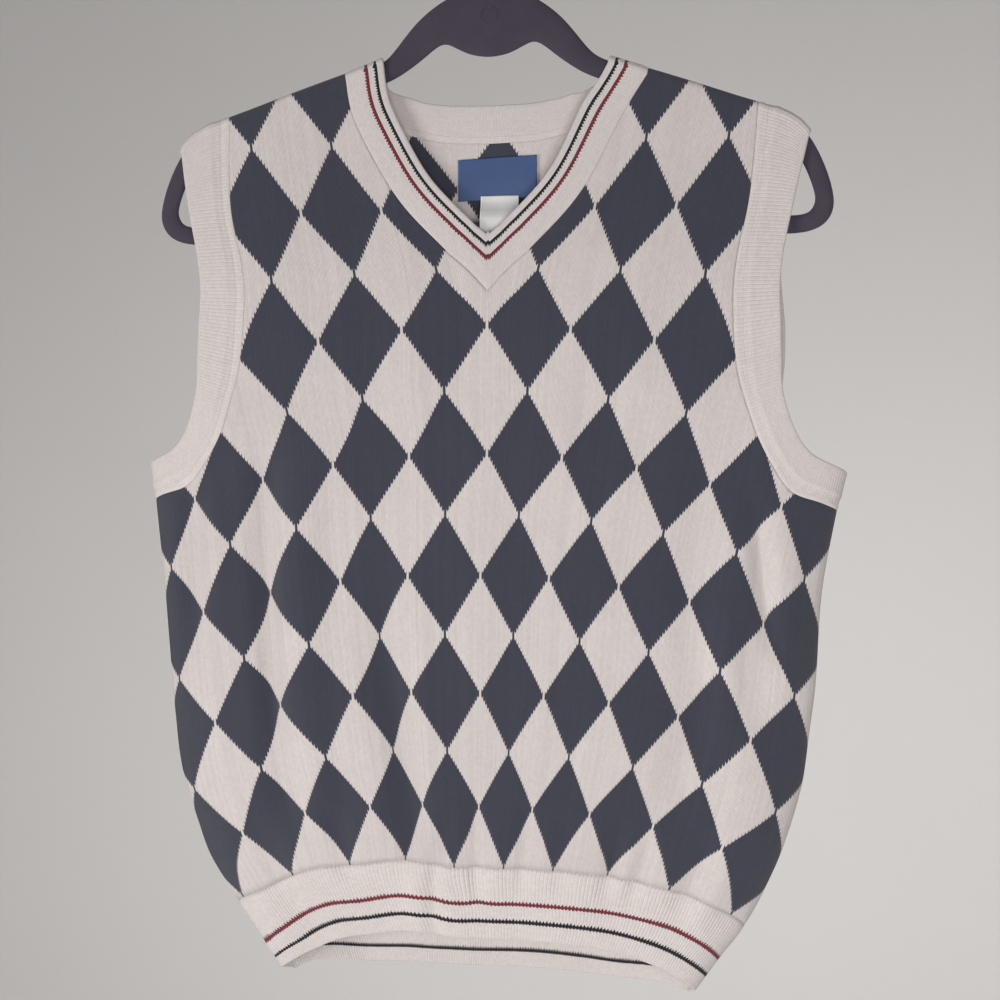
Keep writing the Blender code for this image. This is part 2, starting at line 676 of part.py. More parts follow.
def make_hem_rib(name, face, finish):
    """The rib at the hem: ridges and valleys in its outer points over a plain inside."""
    top = hem_row(face, 0.0) - SEAM_GAP / 2 / DIAMOND_ROW
    rows = [top, hem_row(face, RIB_ROWS / 2), hem_row(face, RIB_ROWS)]
    right, left = (body_columns(face, side, 1.0, top + SEAM_GAP / DIAMOND_ROW) for side in (RIGHT, LEFT))
    columns = [-across for across in reversed(right[1:])] + left
    fine = 2 * RIBS_PER_COLUMN
    outer, inner = [], []
    for row in rows:
        lining = [hang(face, across, row) for across in columns]
        ways = [outward(face, across, row) for across in columns]
        line = []
        for k in range(fine * (len(columns) - 1) + 1):
            column, part = divmod(k, fine)
            after = min(column + 1, len(columns) - 1)
            share = part / fine
            spot = lining[column].lerp(lining[after], share)
            raised = RIB_WALL + (RIB_RELIEF if k % 2 else 0.0)
            line.append(spot + ways[column].lerp(ways[after], share).normalized() * raised)
        outer.append(line)
        inner.append(lining)
    points, faces = [], []
    outer_at, inner_at = [], []
    for lines, at in ((outer, outer_at), (inner, inner_at)):
        for line in lines:
            at.append(list(range(len(points), len(points) + len(line))))
            points += line
    for at, turned in ((outer_at, False), (inner_at, True)):
        for upper, lower in zip(at, at[1:]):
            for k in range(len(upper) - 1):
                corners = (lower[k], lower[k + 1], upper[k + 1], upper[k])
                faces.append(tuple(reversed(corners)) if turned else corners)
    middle = fine // 2
    for at, turned in ((0, False), (-1, True)):
        out_line, in_line = outer_at[at], inner_at[at]
        for k in range(len(in_line) - 1):
            a, b = in_line[k], in_line[k + 1]
            rim = [out_line[k * fine + m] for m in range(fine + 1)]
            fan = [(rim[m], rim[m + 1], a) for m in range(middle)]
            fan.append((rim[middle], b, a))
            fan += [(rim[m], rim[m + 1], b) for m in range(middle, fine)]
            faces += [tuple(reversed(corners)) if turned else corners for corners in fan]
    for end, turned in ((0, False), (-1, True)):
        for r in range(len(rows) - 1):
            corners = (inner_at[r + 1][end], outer_at[r + 1][end], outer_at[r][end], inner_at[r][end])
            faces.append(tuple(reversed(corners)) if turned else corners)
    return solid(name, points, faces, finish)


# A band's section: how far across it a point lies, and how far through its wall.
BandPoint = namedtuple("BandPoint", "across through")
BAND_SECTION = (
    BandPoint(0.0, 0.0),
    BandPoint(0.0, 1.0),
    BandPoint(0.35, 1.0),
    BandPoint(0.62, 1.0),
    BandPoint(0.80, 1.0),
    BandPoint(0.95, 1.0),
    BandPoint(1.0, 0.5),
    BandPoint(0.95, 0.0),
    BandPoint(0.80, 0.0),
    BandPoint(0.62, 0.0),
    BandPoint(0.35, 0.0),
)


def ring(name, stations, finish):
    """A closed ring through sections, each a list of points in the same order."""
    width = len(stations[0])
    points = [point for station in stations for point in station]
    faces = []
    for k in range(len(stations)):
        after = (k + 1) % len(stations)
        for m in range(width):
            n = (m + 1) % width
            faces.append(
                (k * width + m, k * width + n, after * width + n, after * width + m)
            )
    return solid(name, points, faces, finish)


def armhole_half(face, side):
    """Stations of an armhole band along one panel, from the underarm up to the shoulder."""
    _, arm, under = SEAMS[face, side]
    arm = under[:-1] + arm
    spots = [Vector((across * DIAMOND_HALF_WIDTH, row * DIAMOND_ROW)) for across, row in arm]
    stations = []
    for k, (across_0, row_0) in enumerate(arm):
        run = spots[min(k + 1, len(spots) - 1)] - spots[max(k - 1, 0)]
        away = Vector((run.y, -run.x)).normalized()
        if k == 0:
            away = Vector((0.0, 1.0))
        below = (spots[-1] - spots[k]).length
        nearness = math.exp(-((below / BAND_FLARE_REACH) ** 2))
        if k >= len(arm) - 1 - SHOULDER_TURN_STEPS:
            away, nearness = Vector((1.0, 0.0)), 1.0
        width = BAND_WIDTH + BAND_FLARE * nearness
        top = shoulder_row(face, side * across_0)
        station = []
        for point in BAND_SECTION:
            off = SEAM_GAP + (width - SEAM_GAP) * point.across
            across = min(across_0 + away.x * off / DIAMOND_HALF_WIDTH, PANEL_HALF)
            row = row_0 + away.y * off / DIAMOND_ROW * (1 - nearness)
            if nearness > 0.01:
                row += (shoulder_row(face, side * across) - top) * nearness
            base = hang(face, side * across, row)
            station.append(base + outward(face, side * across, row) * BAND_WALL * point.through)
        stations.append(station)
    return stations


def average(first, second):
    return [(a + b) / 2 for a, b in zip(first, second)]


def make_armhole_band(name, side, finish):
    """The folded rib band round one armhole."""
    front = armhole_half(FRONT, side)
    back = armhole_half(BACK, side)
    underarm = average(front[0], back[0])
    shoulder = average(front[-1], back[-1])
    stations = [underarm] + front[1:-1] + [shoulder] + list(reversed(back[1:-1]))
    return ring(name, stations[::side], finish)


def neck_lines(face, side):
    """The neck seam and the band's free edge, laid flat, from the middle to the shoulder."""
    grid = FRONT_GRID if face == FRONT else BACK_GRID
    neck, _, _ = SEAMS[face, side]
    places = [flat_place(face, side * across, row) for across, row in neck[grid.to_neck :]]
    seam = [Vector((place[0], place[1])) for place in places]
    main = len(seam) - 1 - SHOULDER_TURN_STEPS
    edge = []
    for k, spot in enumerate(seam):
        run = seam[min(k + 1, main)] - seam[max(k - 1, 0)]
        away = Vector((-run.y, run.x)).normalized() * side
        nearness = math.exp(-(((seam[-1] - spot).length / BAND_FLARE_REACH) ** 2))
        if k >= main:
            away, nearness = Vector((-side, 0.0)), 1.0
        x = spot.x + away.x * NECK_BAND_WIDTH
        height = spot.y + away.y * NECK_BAND_WIDTH * (1 - nearness)
        height += (hanger_top(x) - hanger_top(spot.x)) * nearness
        edge.append(Vector((x, height)))
    run = seam[1] - seam[0]
    edge[0] = seam[0] + Vector((0.0, NECK_BAND_WIDTH * run.length / abs(run.x)))
    edge[0].x = 0.0
    kept = [edge[0]] + [spot for spot in edge[1 : main + 1] if side * spot.x > 0.001]
    seam_shares = lengths_along(seam[: main + 1])
    edge_shares = lengths_along(kept)
    matched = [
        Vector((np.interp(share, edge_shares, xs), np.interp(share, edge_shares, heights)))
        for xs, heights in [list(zip(*kept))]
        for share in seam_shares
    ]
    return seam, matched + edge[main + 1 :]


def lengths_along(spots):
    """How far along a run of points each one is, from 0 to 1."""
    steps = [(b - a).length for a, b in zip(spots, spots[1:])]
    return [sum(steps[:k]) / sum(steps) for k in range(len(spots))]


def neck_half(face, side):
    """Stations of the neck band along one panel, from its middle up to the shoulder."""
    seam, edge = neck_lines(face, side)
    stations = []
    for k, (start, end) in enumerate(zip(seam, edge)):
        across = end - start
        gap = SEAM_GAP / across.length
        over = k >= len(seam) - 1 - SHOULDER_TURN_STEPS
        station = []
        for point in BAND_SECTION:
            spot = start + across * (gap + (1 - gap) * point.across)
            if over:
                spot.y = start.y + hanger_top(spot.x) - hanger_top(start.x)
            base = drape(face, spot.x, spot.y)
            step = 0.0004
            sideways = drape(face, spot.x + step, spot.y) - drape(face, spot.x - step, spot.y)
            upwards = drape(face, spot.x, spot.y + step) - drape(face, spot.x, spot.y - step)
            normal = sideways.cross(upwards) if face == FRONT else upwards.cross(sideways)
            station.append(base + normal.normalized() * BAND_WALL * point.through)
        stations.append(station)
    return stations


def make_neck_band(name, finish):
    """The folded rib band round the neck, mitred at the point of the V."""
    front = {side: neck_half(FRONT, side) for side in (RIGHT, LEFT)}
    back = {side: neck_half(BACK, side) for side in (RIGHT, LEFT)}
    stations = front[LEFT][:-1]
    stations.append(average(front[LEFT][-1], back[LEFT][-1]))
    stations += list(reversed(back[LEFT][:-1])) + back[RIGHT][1:-1]
    stations.append(average(front[RIGHT][-1], back[RIGHT][-1]))
    stations += list(reversed(front[RIGHT][1:-1]))
    return ring(name, stations, finish)


# ------------------------------------------------------------------ labels
def make_label(name, label, fall, rows, finish):
    """A woven label that hangs inside the back of the neck."""
    inner, ways, faces = [], [], []
    top, bottom = fall[0].height, fall[-1].height
    rising = tuple(reversed(fall))
    for r in range(rows + 1):
        height = top + (bottom - top) * r / rows
        slope = Vector((0.0, 0.0, 0.001))
        slope.y = along(rising, "height", "behind", height + 0.0005)
        slope.y -= along(rising, "height", "behind", height - 0.0005)
        for c in range(label.columns + 1):
            x = label.left + (label.right - label.left) * c / label.columns
            inner.append(Vector((x, along(rising, "height", "behind", height), height)))
            ways.append(Vector((1.0, 0.0, 0.0)).cross(slope).normalized())
    for r in range(rows):
        for c in range(label.columns):
            k = r * (label.columns + 1) + c
            faces.append((k, k + label.columns + 1, k + label.columns + 2, k + 1))
    return wall(name, inner, ways, faces, label.thick, finish)


# ------------------------------------------------------------------ hanger
def make_hanger(name, finish):
    """The flocked hanger: a rounded flat bar that runs round in a loop and swells into the hub."""
    loop = []
    for spot in HANGER_STATIONS:
        loop.append((Vector((spot.x, 0.0, spot.height)), Vector((spot.window_x, 0.0, spot.window_height))))
    bar_steps = 4
    end = HANGER_STATIONS[-1]
    for k in range(1, bar_steps + 1):
        x = end.x * (1 - k / bar_steps)
        loop.append((Vector((x, 0.0, end.height)), Vector((x, 0.0, end.window_height))))
    mirror = Vector((-1.0, 1.0, 1.0))
    loop += [(out * mirror, into * mirror) for out, into in reversed(loop[1:-1])]
    half = HANGER_THICK / 2
    stations = []
    for out, into in loop:
        way = (into - out).normalized()
        station = []
        for start, toward, side in ((out, way, 1), (into, -way, 1), (into, -way, -1), (out, way, -1)):
            edge = start + Vector((0.0, side * (half - HANGER_EDGE), 0.0))
            flat = start + toward * HANGER_EDGE + Vector((0.0, side * half, 0.0))
            station += [edge, flat] if (start is out) == (side > 0) else [flat, edge]
        stations.append(station)
    return ring(name, stations, finish)


def make_hook(name, finish):
    """The wire hook: up from the hub, out to one side and over the rail."""
    radius = HOOK_BEND
    centre = Vector((0.0, 0.0, -radius + HOOK_WIRE / 2 + 0.0))
    foot = HUB_TOP + SEAM_GAP
    path = [Vector((0.0, 0.0, foot)), Vector((0.0, 0.0, foot + 0.004))]
    start, finish_angle = -48.0, 215.0
    first = centre + Vector(
        (math.cos(math.radians(start)) * radius, 0.0, math.sin(math.radians(start)) * radius)
    )
    low = path[-1]
    for k in range(1, 6):
        t = k / 6
        ease = t * t * (3 - 2 * t)
        path.append(Vector((low.x + (first.x - low.x) * ease * 0.96, 0.0, low.z + (first.z - low.z) * t)))
    steps = 26
    for k in range(steps + 1):
        angle = math.radians(start + (finish_angle - start) * k / steps)
        path.append(centre + Vector((math.cos(angle) * radius, 0.0, math.sin(angle) * radius)))
    curve = bpy.data.curves.new(name, "CURVE")
    curve.dimensions = "3D"
    curve.bevel_depth = HOOK_WIRE / 2
    curve.bevel_resolution = 2
    curve.use_fill_caps = True
    spline = curve.splines.new("POLY")
    spline.points.add(len(path) - 1)
    for point, spot in zip(spline.points, path):
        point.co = (*spot, 1.0)
    curve.materials.append(finish)
    made = bpy.data.objects.new(name, curve)
    bpy.context.collection.objects.link(made)
    return made


# ------------------------------------------------------------------ the whole object
for old in list(bpy.data.objects):
    bpy.data.objects.remove(old, do_unlink=True)

SEAMS = {(face, side): seam_lines(face, side) for face in (FRONT, BACK) for side in (RIGHT, LEFT)}


def main():
    knit = material("knit_panel", (0.12, 0.13, 0.17), 0.92)
    rib = material("knit_rib", (0.68, 0.62, 0.57), 0.92)
    blue = material("label_blue", (0.05, 0.09, 0.22), 0.6)
    white = material("label_white", (0.78, 0.78, 0.76), 0.55)
    flock = material("flock", (0.065, 0.045, 0.065), 0.95)
    chrome = material("chrome", (0.82, 0.82, 0.84), 0.12, 1.0)

    make_panel("front_panel", FRONT, knit)
    make_panel("back_panel", BACK, knit)
    make_hem_rib("hem_rib_front", FRONT, rib)
    make_hem_rib("hem_rib_back", BACK, rib)
    make_armhole_band("armhole_band_left", LEFT, rib)
    make_armhole_band("armhole_band_right", RIGHT, rib)
    make_neck_band("neck_band", rib)
    make_label("neck_label", NECK_LABEL, NECK_LABEL_FALL, 3, blue)
    make_label("care_label", CARE_LABEL, CARE_LABEL_FALL, 9, white)
    make_hanger("hanger_body", flock)
    make_hook("hanger_hook", chrome)


main()
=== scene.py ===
"""Harlequin knitted vest on a flocked hanger: its knitted sheets, trim, finishes and studio.

The panels, ribs and bands are thin knitted shells over the frame's walls. Each panel is laid out in
its own pattern: `across` counts half diamonds from the panel's middle (+ towards +X) and `row` counts
rows of diamonds, with 0 at the join of the front rib. `hang` turns places in the pattern into points
of the panel's inner face, and a shell is raised outwards from them.
"""

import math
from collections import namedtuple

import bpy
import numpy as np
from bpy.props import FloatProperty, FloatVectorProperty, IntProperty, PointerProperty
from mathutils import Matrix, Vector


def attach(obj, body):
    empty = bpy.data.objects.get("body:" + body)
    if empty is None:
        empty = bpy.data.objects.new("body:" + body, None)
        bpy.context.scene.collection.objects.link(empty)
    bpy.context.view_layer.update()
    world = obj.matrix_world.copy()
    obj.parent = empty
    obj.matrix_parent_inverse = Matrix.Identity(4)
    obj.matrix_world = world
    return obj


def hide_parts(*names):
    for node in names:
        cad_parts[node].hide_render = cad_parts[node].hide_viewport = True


bl_info = {
    "name": "Harlequin Knitted Vest",
    "version": (1, 0, 0),
    "blender": (4, 5, 0),
    "location": "View3D > Sidebar > Knitted Vest",
    "description": "Knits a harlequin vest over its frame, hangs it up and lights it in a studio",
    "category": "Add Mesh",
}

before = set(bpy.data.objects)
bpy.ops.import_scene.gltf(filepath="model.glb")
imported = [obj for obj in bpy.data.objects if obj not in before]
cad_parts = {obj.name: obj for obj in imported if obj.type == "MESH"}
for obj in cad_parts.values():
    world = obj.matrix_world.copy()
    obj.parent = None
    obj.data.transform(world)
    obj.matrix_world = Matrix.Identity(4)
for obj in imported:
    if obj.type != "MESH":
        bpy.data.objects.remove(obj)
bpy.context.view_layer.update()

bpy.ops.object.select_all(action="DESELECT")


def table(kind, *lines):
    """A table's lines, each with its fields named."""
    return tuple(kind(*line) for line in lines)


# ------------------------------------------------------------------ the vest's cut
SEAM_GAP = 0.00008
BAND_WIDTH = 0.0262
NECK_BAND_WIDTH = 0.0254
BAND_FLARE = 0.007
BAND_FLARE_REACH = 0.040
PANEL_HALF = 10.0
DIAMOND_HALF_WIDTH = 0.0262
DIAMOND_ROW = 0.040
V_POINT_ROW = 9.63
UNDERARM_ROW = 7.34
RIB_ROWS = 1.18
SHOULDER_END_X = 0.174
SHOULDER_TURN_ROWS = 0.14
HANGER_THICK = 0.0055
HANGER_FIT = 0.0008
HUB_TOP = -0.064
SIDE_FULLNESS = 4.5
SIDE_TWIST = 0.003
PATTERN_LEAN = 0.012
HEM_LEAN = 0.027
HEM_LEAN_TOP = -0.665
HEM_LEAN_REACH = 0.040
CORNER_DROP = 0.013
CORNER_START = 0.095
CORNER_REACH = 0.050
CORNER_TOP = -0.645
CORNER_FADE = 0.045
FOLD_FADE = 0.8
PINCH_REACH = 2.5
PINCH_SCALE = 1.6
NECK_SPREAD_REACH = 0.6
SEARCH_ROWS = (-3.0, 9.0)
SEARCH_COLUMNS = (1.0, 8.0)
WRAP_RADIUS = HANGER_THICK / 2 + HANGER_FIT
FRONT, BACK = -1, 1
RIGHT, LEFT = -1, 1
SHOULDER_NECK_X = {RIGHT: 0.0955, LEFT: 0.1035}
# Where the front's pattern turns round to the back, a little before it meets the back at the seams.
FRONT_FOLD = {RIGHT: 9.5, LEFT: 9.75}
ROUND_THE_SIDE = 0.05
BACK_PATTERN_SHIFT = 0.2
# Metres to a column and to a row of the pattern, and how near its cuts come to their seams.
PATTERN_SCALE = np.array((DIAMOND_HALF_WIDTH, DIAMOND_ROW))
GAP_ROWS = SEAM_GAP / 2 / DIAMOND_ROW
SIDE_LIMIT = PANEL_HALF - SEAM_GAP / 2 / DIAMOND_HALF_WIDTH

# How far the side folds stand from the middle at each height.
SideLine = namedtuple("SideLine", "height left right")
SIDE_LINES = table(
    SideLine,
    (-0.740, 0.126, 0.116),
    (-0.712, 0.1365, 0.131),
    (-0.690, 0.1475, 0.147),
    (-0.668, 0.1675, 0.165),
    (-0.643, 0.1855, 0.178),
    (-0.619, 0.195, 0.188),
    (-0.582, 0.2065, 0.199),
    (-0.547, 0.211, 0.204),
    (-0.515, 0.214, 0.208),
    (-0.457, 0.219, 0.212),
    (-0.402, 0.225, 0.222),
    (-0.377, 0.228, 0.228),
    (-0.357, 0.232, 0.233),
    (-0.335, 0.244, 0.244),
    (-0.307, 0.260, 0.260),
    (-0.280, 0.267, 0.267),
    (-0.217, 0.265, 0.265),
    (-0.090, 0.262, 0.262),
)

# How far the inner faces stand off the hanger's middle plane, and where the sides still do.
Depth = namedtuple("Depth", "height front back rim")
DEPTHS = table(
    Depth,
    (-0.740, 0.0130, 0.0150, 0.0),
    (-0.700, 0.0160, 0.0165, 0.0),
    (-0.668, 0.0185, 0.0180, 0.0),
    (-0.642, 0.0230, 0.0195, 0.0),
    (-0.615, 0.0255, 0.0200, 0.0),
    (-0.567, 0.0245, 0.0185, 0.0),
    (-0.487, 0.0220, 0.0165, 0.0),
    (-0.417, 0.0200, 0.0145, 0.0),
    (-0.345, 0.0165, 0.0120, 0.0),
    (-0.290, 0.0130, 0.0100, 0.0012),
    (-0.252, 0.0100, 0.0085, 0.0028),
    (-0.212, 0.0062, 0.0065, WRAP_RADIUS),
    (-0.167, 0.0037, 0.0043, WRAP_RADIUS),
    (-0.090, WRAP_RADIUS, WRAP_RADIUS, WRAP_RADIUS),
)
DEPTH_COLUMN = {FRONT: "front", BACK: "back"}

# Each row of the pattern at the panel's middle: its height, how far the neck has spread the two
# sides apart, how far it drops by the side seam, how late that drop comes, and how much looser
# than at the sides the cloth is in the middle (minus where gathers draw it together there).
PatternRow = namedtuple(
    "PatternRow", "row height spread drop late left_loose right_loose", defaults=(2.0, 0.05, 0.05)
)
PATTERN_ROWS = {
    FRONT: table(
        PatternRow,
        (-1.6, -0.699, 0.0, 0.031, 4.0, -0.23, -0.24),
        (-1.2, -0.683, 0.0, 0.032, 4.0, -0.23, -0.24),
        (0.0, -0.635, 0.0, 0.040, 4.0, -0.23, -0.24),
        (1.0, -0.597, 0.0, 0.044, 3.3, -0.21, -0.21),
        (2.0, -0.562, 0.0, 0.045, 2.8, -0.145, -0.15),
        (3.0, -0.525, 0.0, 0.045, 2.6, -0.08, -0.1),
        (4.0, -0.488, 0.0, 0.045, 2.4, -0.04, -0.07),
        (5.0, -0.450, 0.0, 0.047, 2.3, -0.01, -0.04),
        (6.0, -0.411, 0.0, 0.048, 2.2, 0.02, -0.01),
        (7.0, -0.372, 0.0, 0.048, 1.9, 0.03, 0.01),
        (8.0, -0.331, 0.0, 0.051, 1.8, 0.05, 0.03),
        (9.0, -0.289, 0.0, 0.054, 1.8, -0.005, -0.02),
        (10.0, -0.252, 0.0065, 0.022, 2.0, -0.045, -0.045),
        (11.0, -0.212, 0.0175, 0.004, 2.0, -0.055, -0.055),
        (12.0, -0.168, 0.0250, 0.0, 2.0, -0.055, -0.055),
        (13.0, -0.127, 0.0305, 0.0, 2.0, -0.055, -0.055),
        (13.8, -0.095, 0.0340, 0.0, 2.0, -0.055, -0.055),
    ),
    BACK: table(
        PatternRow,
        (-3.2, -0.729, 0.0, 0.004),
        (-2.7, -0.7076, 0.0, 0.005),
        (-1.5, -0.6555, 0.0, 0.0105),
        (0.0, -0.611, 0.0, -0.004),
        (2.0, -0.538, 0.0, -0.009),
        (4.0, -0.462, 0.0, -0.007),
        (6.0, -0.386, 0.0, 0.004),
        (8.0, -0.310, 0.0, 0.008),
        (10.0, -0.234, 0.0, 0.004),
        (11.0, -0.196, 0.0, 0.0),
        (12.0, -0.158, 0.0040, 0.0),
        (13.0, -0.120, 0.0100, 0.0),
        (13.8, -0.090, 0.0140, 0.0),
    ),
}

# The cuts, as places in the pattern of the panel's +X half, from the middle or the side upwards.
Cut = namedtuple("Cut", "across row")
NECK_CUT = {
    FRONT: table(Cut, (0.0, V_POINT_ROW), (0.65, 10.34), (1.64, 11.32), (2.33, 12.4), (2.45, 13.2)),
    BACK: table(
        Cut,
        (0.0, 11.80),
        (0.95, 11.83),
        (1.6, 11.92),
        (2.3, 12.08),
        (2.85, 12.28),
        (3.25, 12.60),
        (3.3, 13.1),
    ),
}
ARMHOLE_CUT = {
    FRONT: table(
        Cut,
        (10.0, UNDERARM_ROW),
        (9.1, 7.31),
        (8.2, 7.30),
        (7.5, 7.60),
        (6.9, 8.03),
        (6.4, 8.53),
        (5.95, 9.05),
        (5.71, 9.60),
        (5.66, 10.3),
        (5.69, 11.2),
        (5.55, 12.3),
    ),
    BACK: table(
        Cut,
        (10.0, 5.55),
        (9.2, 5.62),
        (8.3, 5.88),
        (7.3, 6.60),
        (6.55, 7.60),
        (6.15, 8.70),
        (6.05, 10.0),
        (6.08, 11.2),
        (6.18, 12.3),
    ),
}
SHOULDER_ROWS = (11.0, 13.8)

# Soft folds that run up and down the cloth: forward is a ridge, back (minus) a trough, pinch draws
# the cloth towards the fold and sag lets it hang lower there.
Fold = namedtuple("Fold", "face across drift width low high forward pinch sag", defaults=(0.0, 0.0))
FOLDS = table(
    Fold,
    (FRONT, -6.66, 0.105, 0.76, 0.6, 7.9, -0.0088, 0.0024),
    (FRONT, -5.60, 0.105, 0.9, 0.6, 7.9, 0.0044),
    (FRONT, -9.15, 0.156, 0.8, 4.2, 7.4, -0.0068, 0.0014),
    (FRONT, -8.35, 0.156, 0.8, 4.4, 7.3, 0.0018),
    (FRONT, -2.4, -0.12, 1.3, -0.4, 5.6, -0.0050, 0.0040),
    (FRONT, -3.8, -0.05, 1.3, -0.4, 4.6, 0.0022),
    (FRONT, 10.35, -0.44, 0.60, 4.4, 7.1, -0.0064, 0.0018),
    (FRONT, 11.10, -0.44, 0.65, 4.4, 7.1, 0.0032),
    (FRONT, 8.30, -0.10, 0.9, 3.1, 5.0, -0.0038),
    (FRONT, 7.28, -0.224, 1.0, 1.3, 7.4, -0.0038),
    (FRONT, 8.20, -0.224, 1.0, 1.3, 7.0, 0.0018),
    (FRONT, 6.30, 0.00, 0.9, 0.9, 3.4, -0.0034),
    (FRONT, -7.6, 0.00, 1.1, -1.6, 1.3, -0.0040),
    (FRONT, -8.0, 0.00, 2.0, -2.2, 2.0, 0.0, 0.0, 0.0045),
    (FRONT, -9.35, -0.9, 0.8, -1.9, -0.1, -0.0026),
    (FRONT, -1.73, 0.69, 0.6, -1.7, 0.9, -0.0018),
    (FRONT, -2.45, 0.69, 0.7, -1.7, 0.9, 0.0014),
    (FRONT, -3.1, 0.50, 2.0, -1.9, 1.0, 0.0, 0.0, -0.0030),
    (FRONT, -0.9, 0.40, 1.1, -1.8, 0.8, 0.0, 0.0, 0.0010),
    (FRONT, -0.2, 0.00, 0.55, -0.7, 1.3, -0.0034),
    (FRONT, 0.7, 0.00, 0.6, -0.7, 1.1, 0.0016),
    (FRONT, 1.8, 0.00, 0.6, -0.5, 1.2, -0.0032),
    (FRONT, 3.4, 0.00, 0.7, -0.5, 1.0, -0.0020),
    (FRONT, 5.05, 0.00, 0.55, -0.5, 1.1, -0.0032),
    (FRONT, 6.0, 0.00, 0.5, -0.5, 1.0, -0.0030),
    (FRONT, 7.55, 0.00, 0.7, -0.6, 1.3, -0.0044),
    (FRONT, 8.35, 0.00, 0.6, -0.6, 1.3, 0.0018),
    (FRONT, -5.2, 0.00, 0.7, -0.5, 1.2, -0.0028),
    (BACK, -6.9, 0.06, 1.4, -1.6, 6.5, -0.0035),
    (BACK, 6.3, -0.04, 1.4, -1.2, 5.8, -0.0040),
    (BACK, 2.6, 0.03, 1.3, -1.9, 2.4, -0.0030),
    (BACK, -2.2, 0.02, 1.2, -1.9, 1.6, -0.0028),
    (BACK, 0.3, 0.00, 0.9, -1.8, -0.2, -0.0022),
    (BACK, -4.6, 0.00, 0.9, -1.8, -0.1, -0.0025),
    (BACK, 4.7, 0.00, 0.9, -1.8, -0.2, -0.0022),
    (BACK, -2.2, 0.00, 7.4, -4.6, 0.6, 0.0, 0.0, 0.0054),
    (BACK, -6.5, 0.00, 3.2, -4.6, 0.6, 0.0, 0.0, 0.0036),
    (BACK, 5.0, 0.00, 4.0, -4.6, 0.6, 0.0, 0.0, 0.0028),
)

# Long low waves that keep the hanging cloth from lying dead flat.
Wave = namedtuple("Wave", "run_x run_z start size")
WAVES = table(
    Wave,
    (0.071, 0.260, 0.4, 0.00035),
    (0.047, -0.170, 1.7, 0.00022),
    (0.190, 0.083, 2.9, 0.00030),
    (0.031, 0.120, 4.1, 0.00012),
)

# The hanger's bar from the middle of its hub to the foot of its rounded end.
BarPlace = namedtuple("BarPlace", "x height")
HANGER_TOP_EDGE = table(
    BarPlace,
    (0.0000, HUB_TOP),
    (0.0180, -0.0665),
    (0.0330, -0.0735),
    (0.0470, -0.0845),
    (0.0580, -0.0975),
    (0.0680, -0.1095),
    (0.0800, -0.1155),
    (0.1000, -0.1220),
    (0.1300, -0.1320),
    (0.1600, -0.1425),
    (0.1850, -0.1510),
    (0.1985, -0.1580),
    (0.2090, -0.1710),
    (0.2170, -0.1880),
)

# How many stitches of cloth are laid out between the seams: columns from the middle to a side and
# how many of them run up past the armhole, rows up to the armhole, then levels of the two upper
# halves up to the point or middle of the neck, from there to the shoulder, and over the hanger.
Grid = namedtuple("Grid", "columns upper_columns body_rows to_neck to_shoulder turns")
GRIDS = {FRONT: Grid(96, 78, 104, 30, 52, 8), BACK: Grid(96, 78, 96, 60, 16, 8)}


# ------------------------------------------------------------------ what a user would change
def size(name, description, default, least, most):
    """A length that a user may change."""
    limits = {"default": default, "min": least, "max": most}
    return FloatProperty(name=name, description=description, subtype="DISTANCE", unit="LENGTH", **limits)


def number(name, description, default, least, most):
    """A count that a user may change."""
    return IntProperty(name=name, description=description, default=default, min=least, max=most)


def power(name, description, default):
    """A light's power that a user may change."""
    return FloatProperty(name=name, description=description, default=default, min=0.0, unit="POWER")


def colour(name, description, red, green, blue):
    """A colour that a user may change."""
    limits = {"default": (red, green, blue), "size": 3, "min": 0.0, "max": 1.0}
    return FloatVectorProperty(name=name, description=description, subtype="COLOR", **limits)


class VestSizes(bpy.types.PropertyGroup):
    """Sizes of the knitting and the trim."""

    panel_wall: size("Panel thickness", "Thickness of the knitted panels", 0.0018, 0.001, 0.003)
    band_wall: size("Band thickness", "Thickness of the folded neck and armhole bands", 0.0026, 0.0015, 0.004)
    wales: number("Wales", "Columns of stitches in half a diamond's width", 16, 8, 40)
    courses: number("Courses", "Rows of stitches in half a diamond's height", 32, 16, 80)
    hem_ribs: number("Hem ribs", "Ribs across each half of the hem", 160, 40, 200)
    hem_rib_depth: size("Hem rib depth", "Height of a hem rib over the valley beside it", 0.00028, 0.0, 0.002)
    band_rib: size("Band rib", "Distance from rib to rib along the bands", 0.0021, 0.0012, 0.004)
    band_rib_depth: size("Band rib depth", "Height of a band's rib over its valley", 0.00016, 0.0, 0.001)
    hem_stripe: size("Hem stripe", "Width of the coloured stripes in the hem", 0.0012, 0.001, 0.006)
    neck_stripe: size("Neck stripe", "Width of the narrower stripe in the neck band", 0.0014, 0.001, 0.006)


class VestColours(bpy.types.PropertyGroup):
    """Yarn, label and hanger colours."""

    cream: colour("Cream", "Light yarn of the diamonds", 0.69, 0.634, 0.618)
    # Painted shade: the ribs and bands are knit in the panels' cream yarn, painted a little darker here as
    # shade.
    shaded_rib_cream: colour("Cream rib", "Light yarn of the ribs and bands", 0.645, 0.594, 0.578)
    navy: colour("Navy", "Dark yarn of the diamonds", 0.051, 0.054, 0.076)
    burgundy: colour("Burgundy", "Red stripe of the bands", 0.165, 0.028, 0.036)
    black: colour("Black", "Dark stripe of the bands", 0.014, 0.015, 0.019)
    label_blue: colour("Label blue", "Ground of the woven neck label", 0.039, 0.080, 0.212)
    label_white: colour("Label white", "Satin of the care label", 0.72, 0.72, 0.71)
    flock: colour("Flock", "Velvet of the hanger", 0.066, 0.056, 0.078)
    wire: colour("Wire", "Plated wire of the hook", 0.80, 0.80, 0.82)


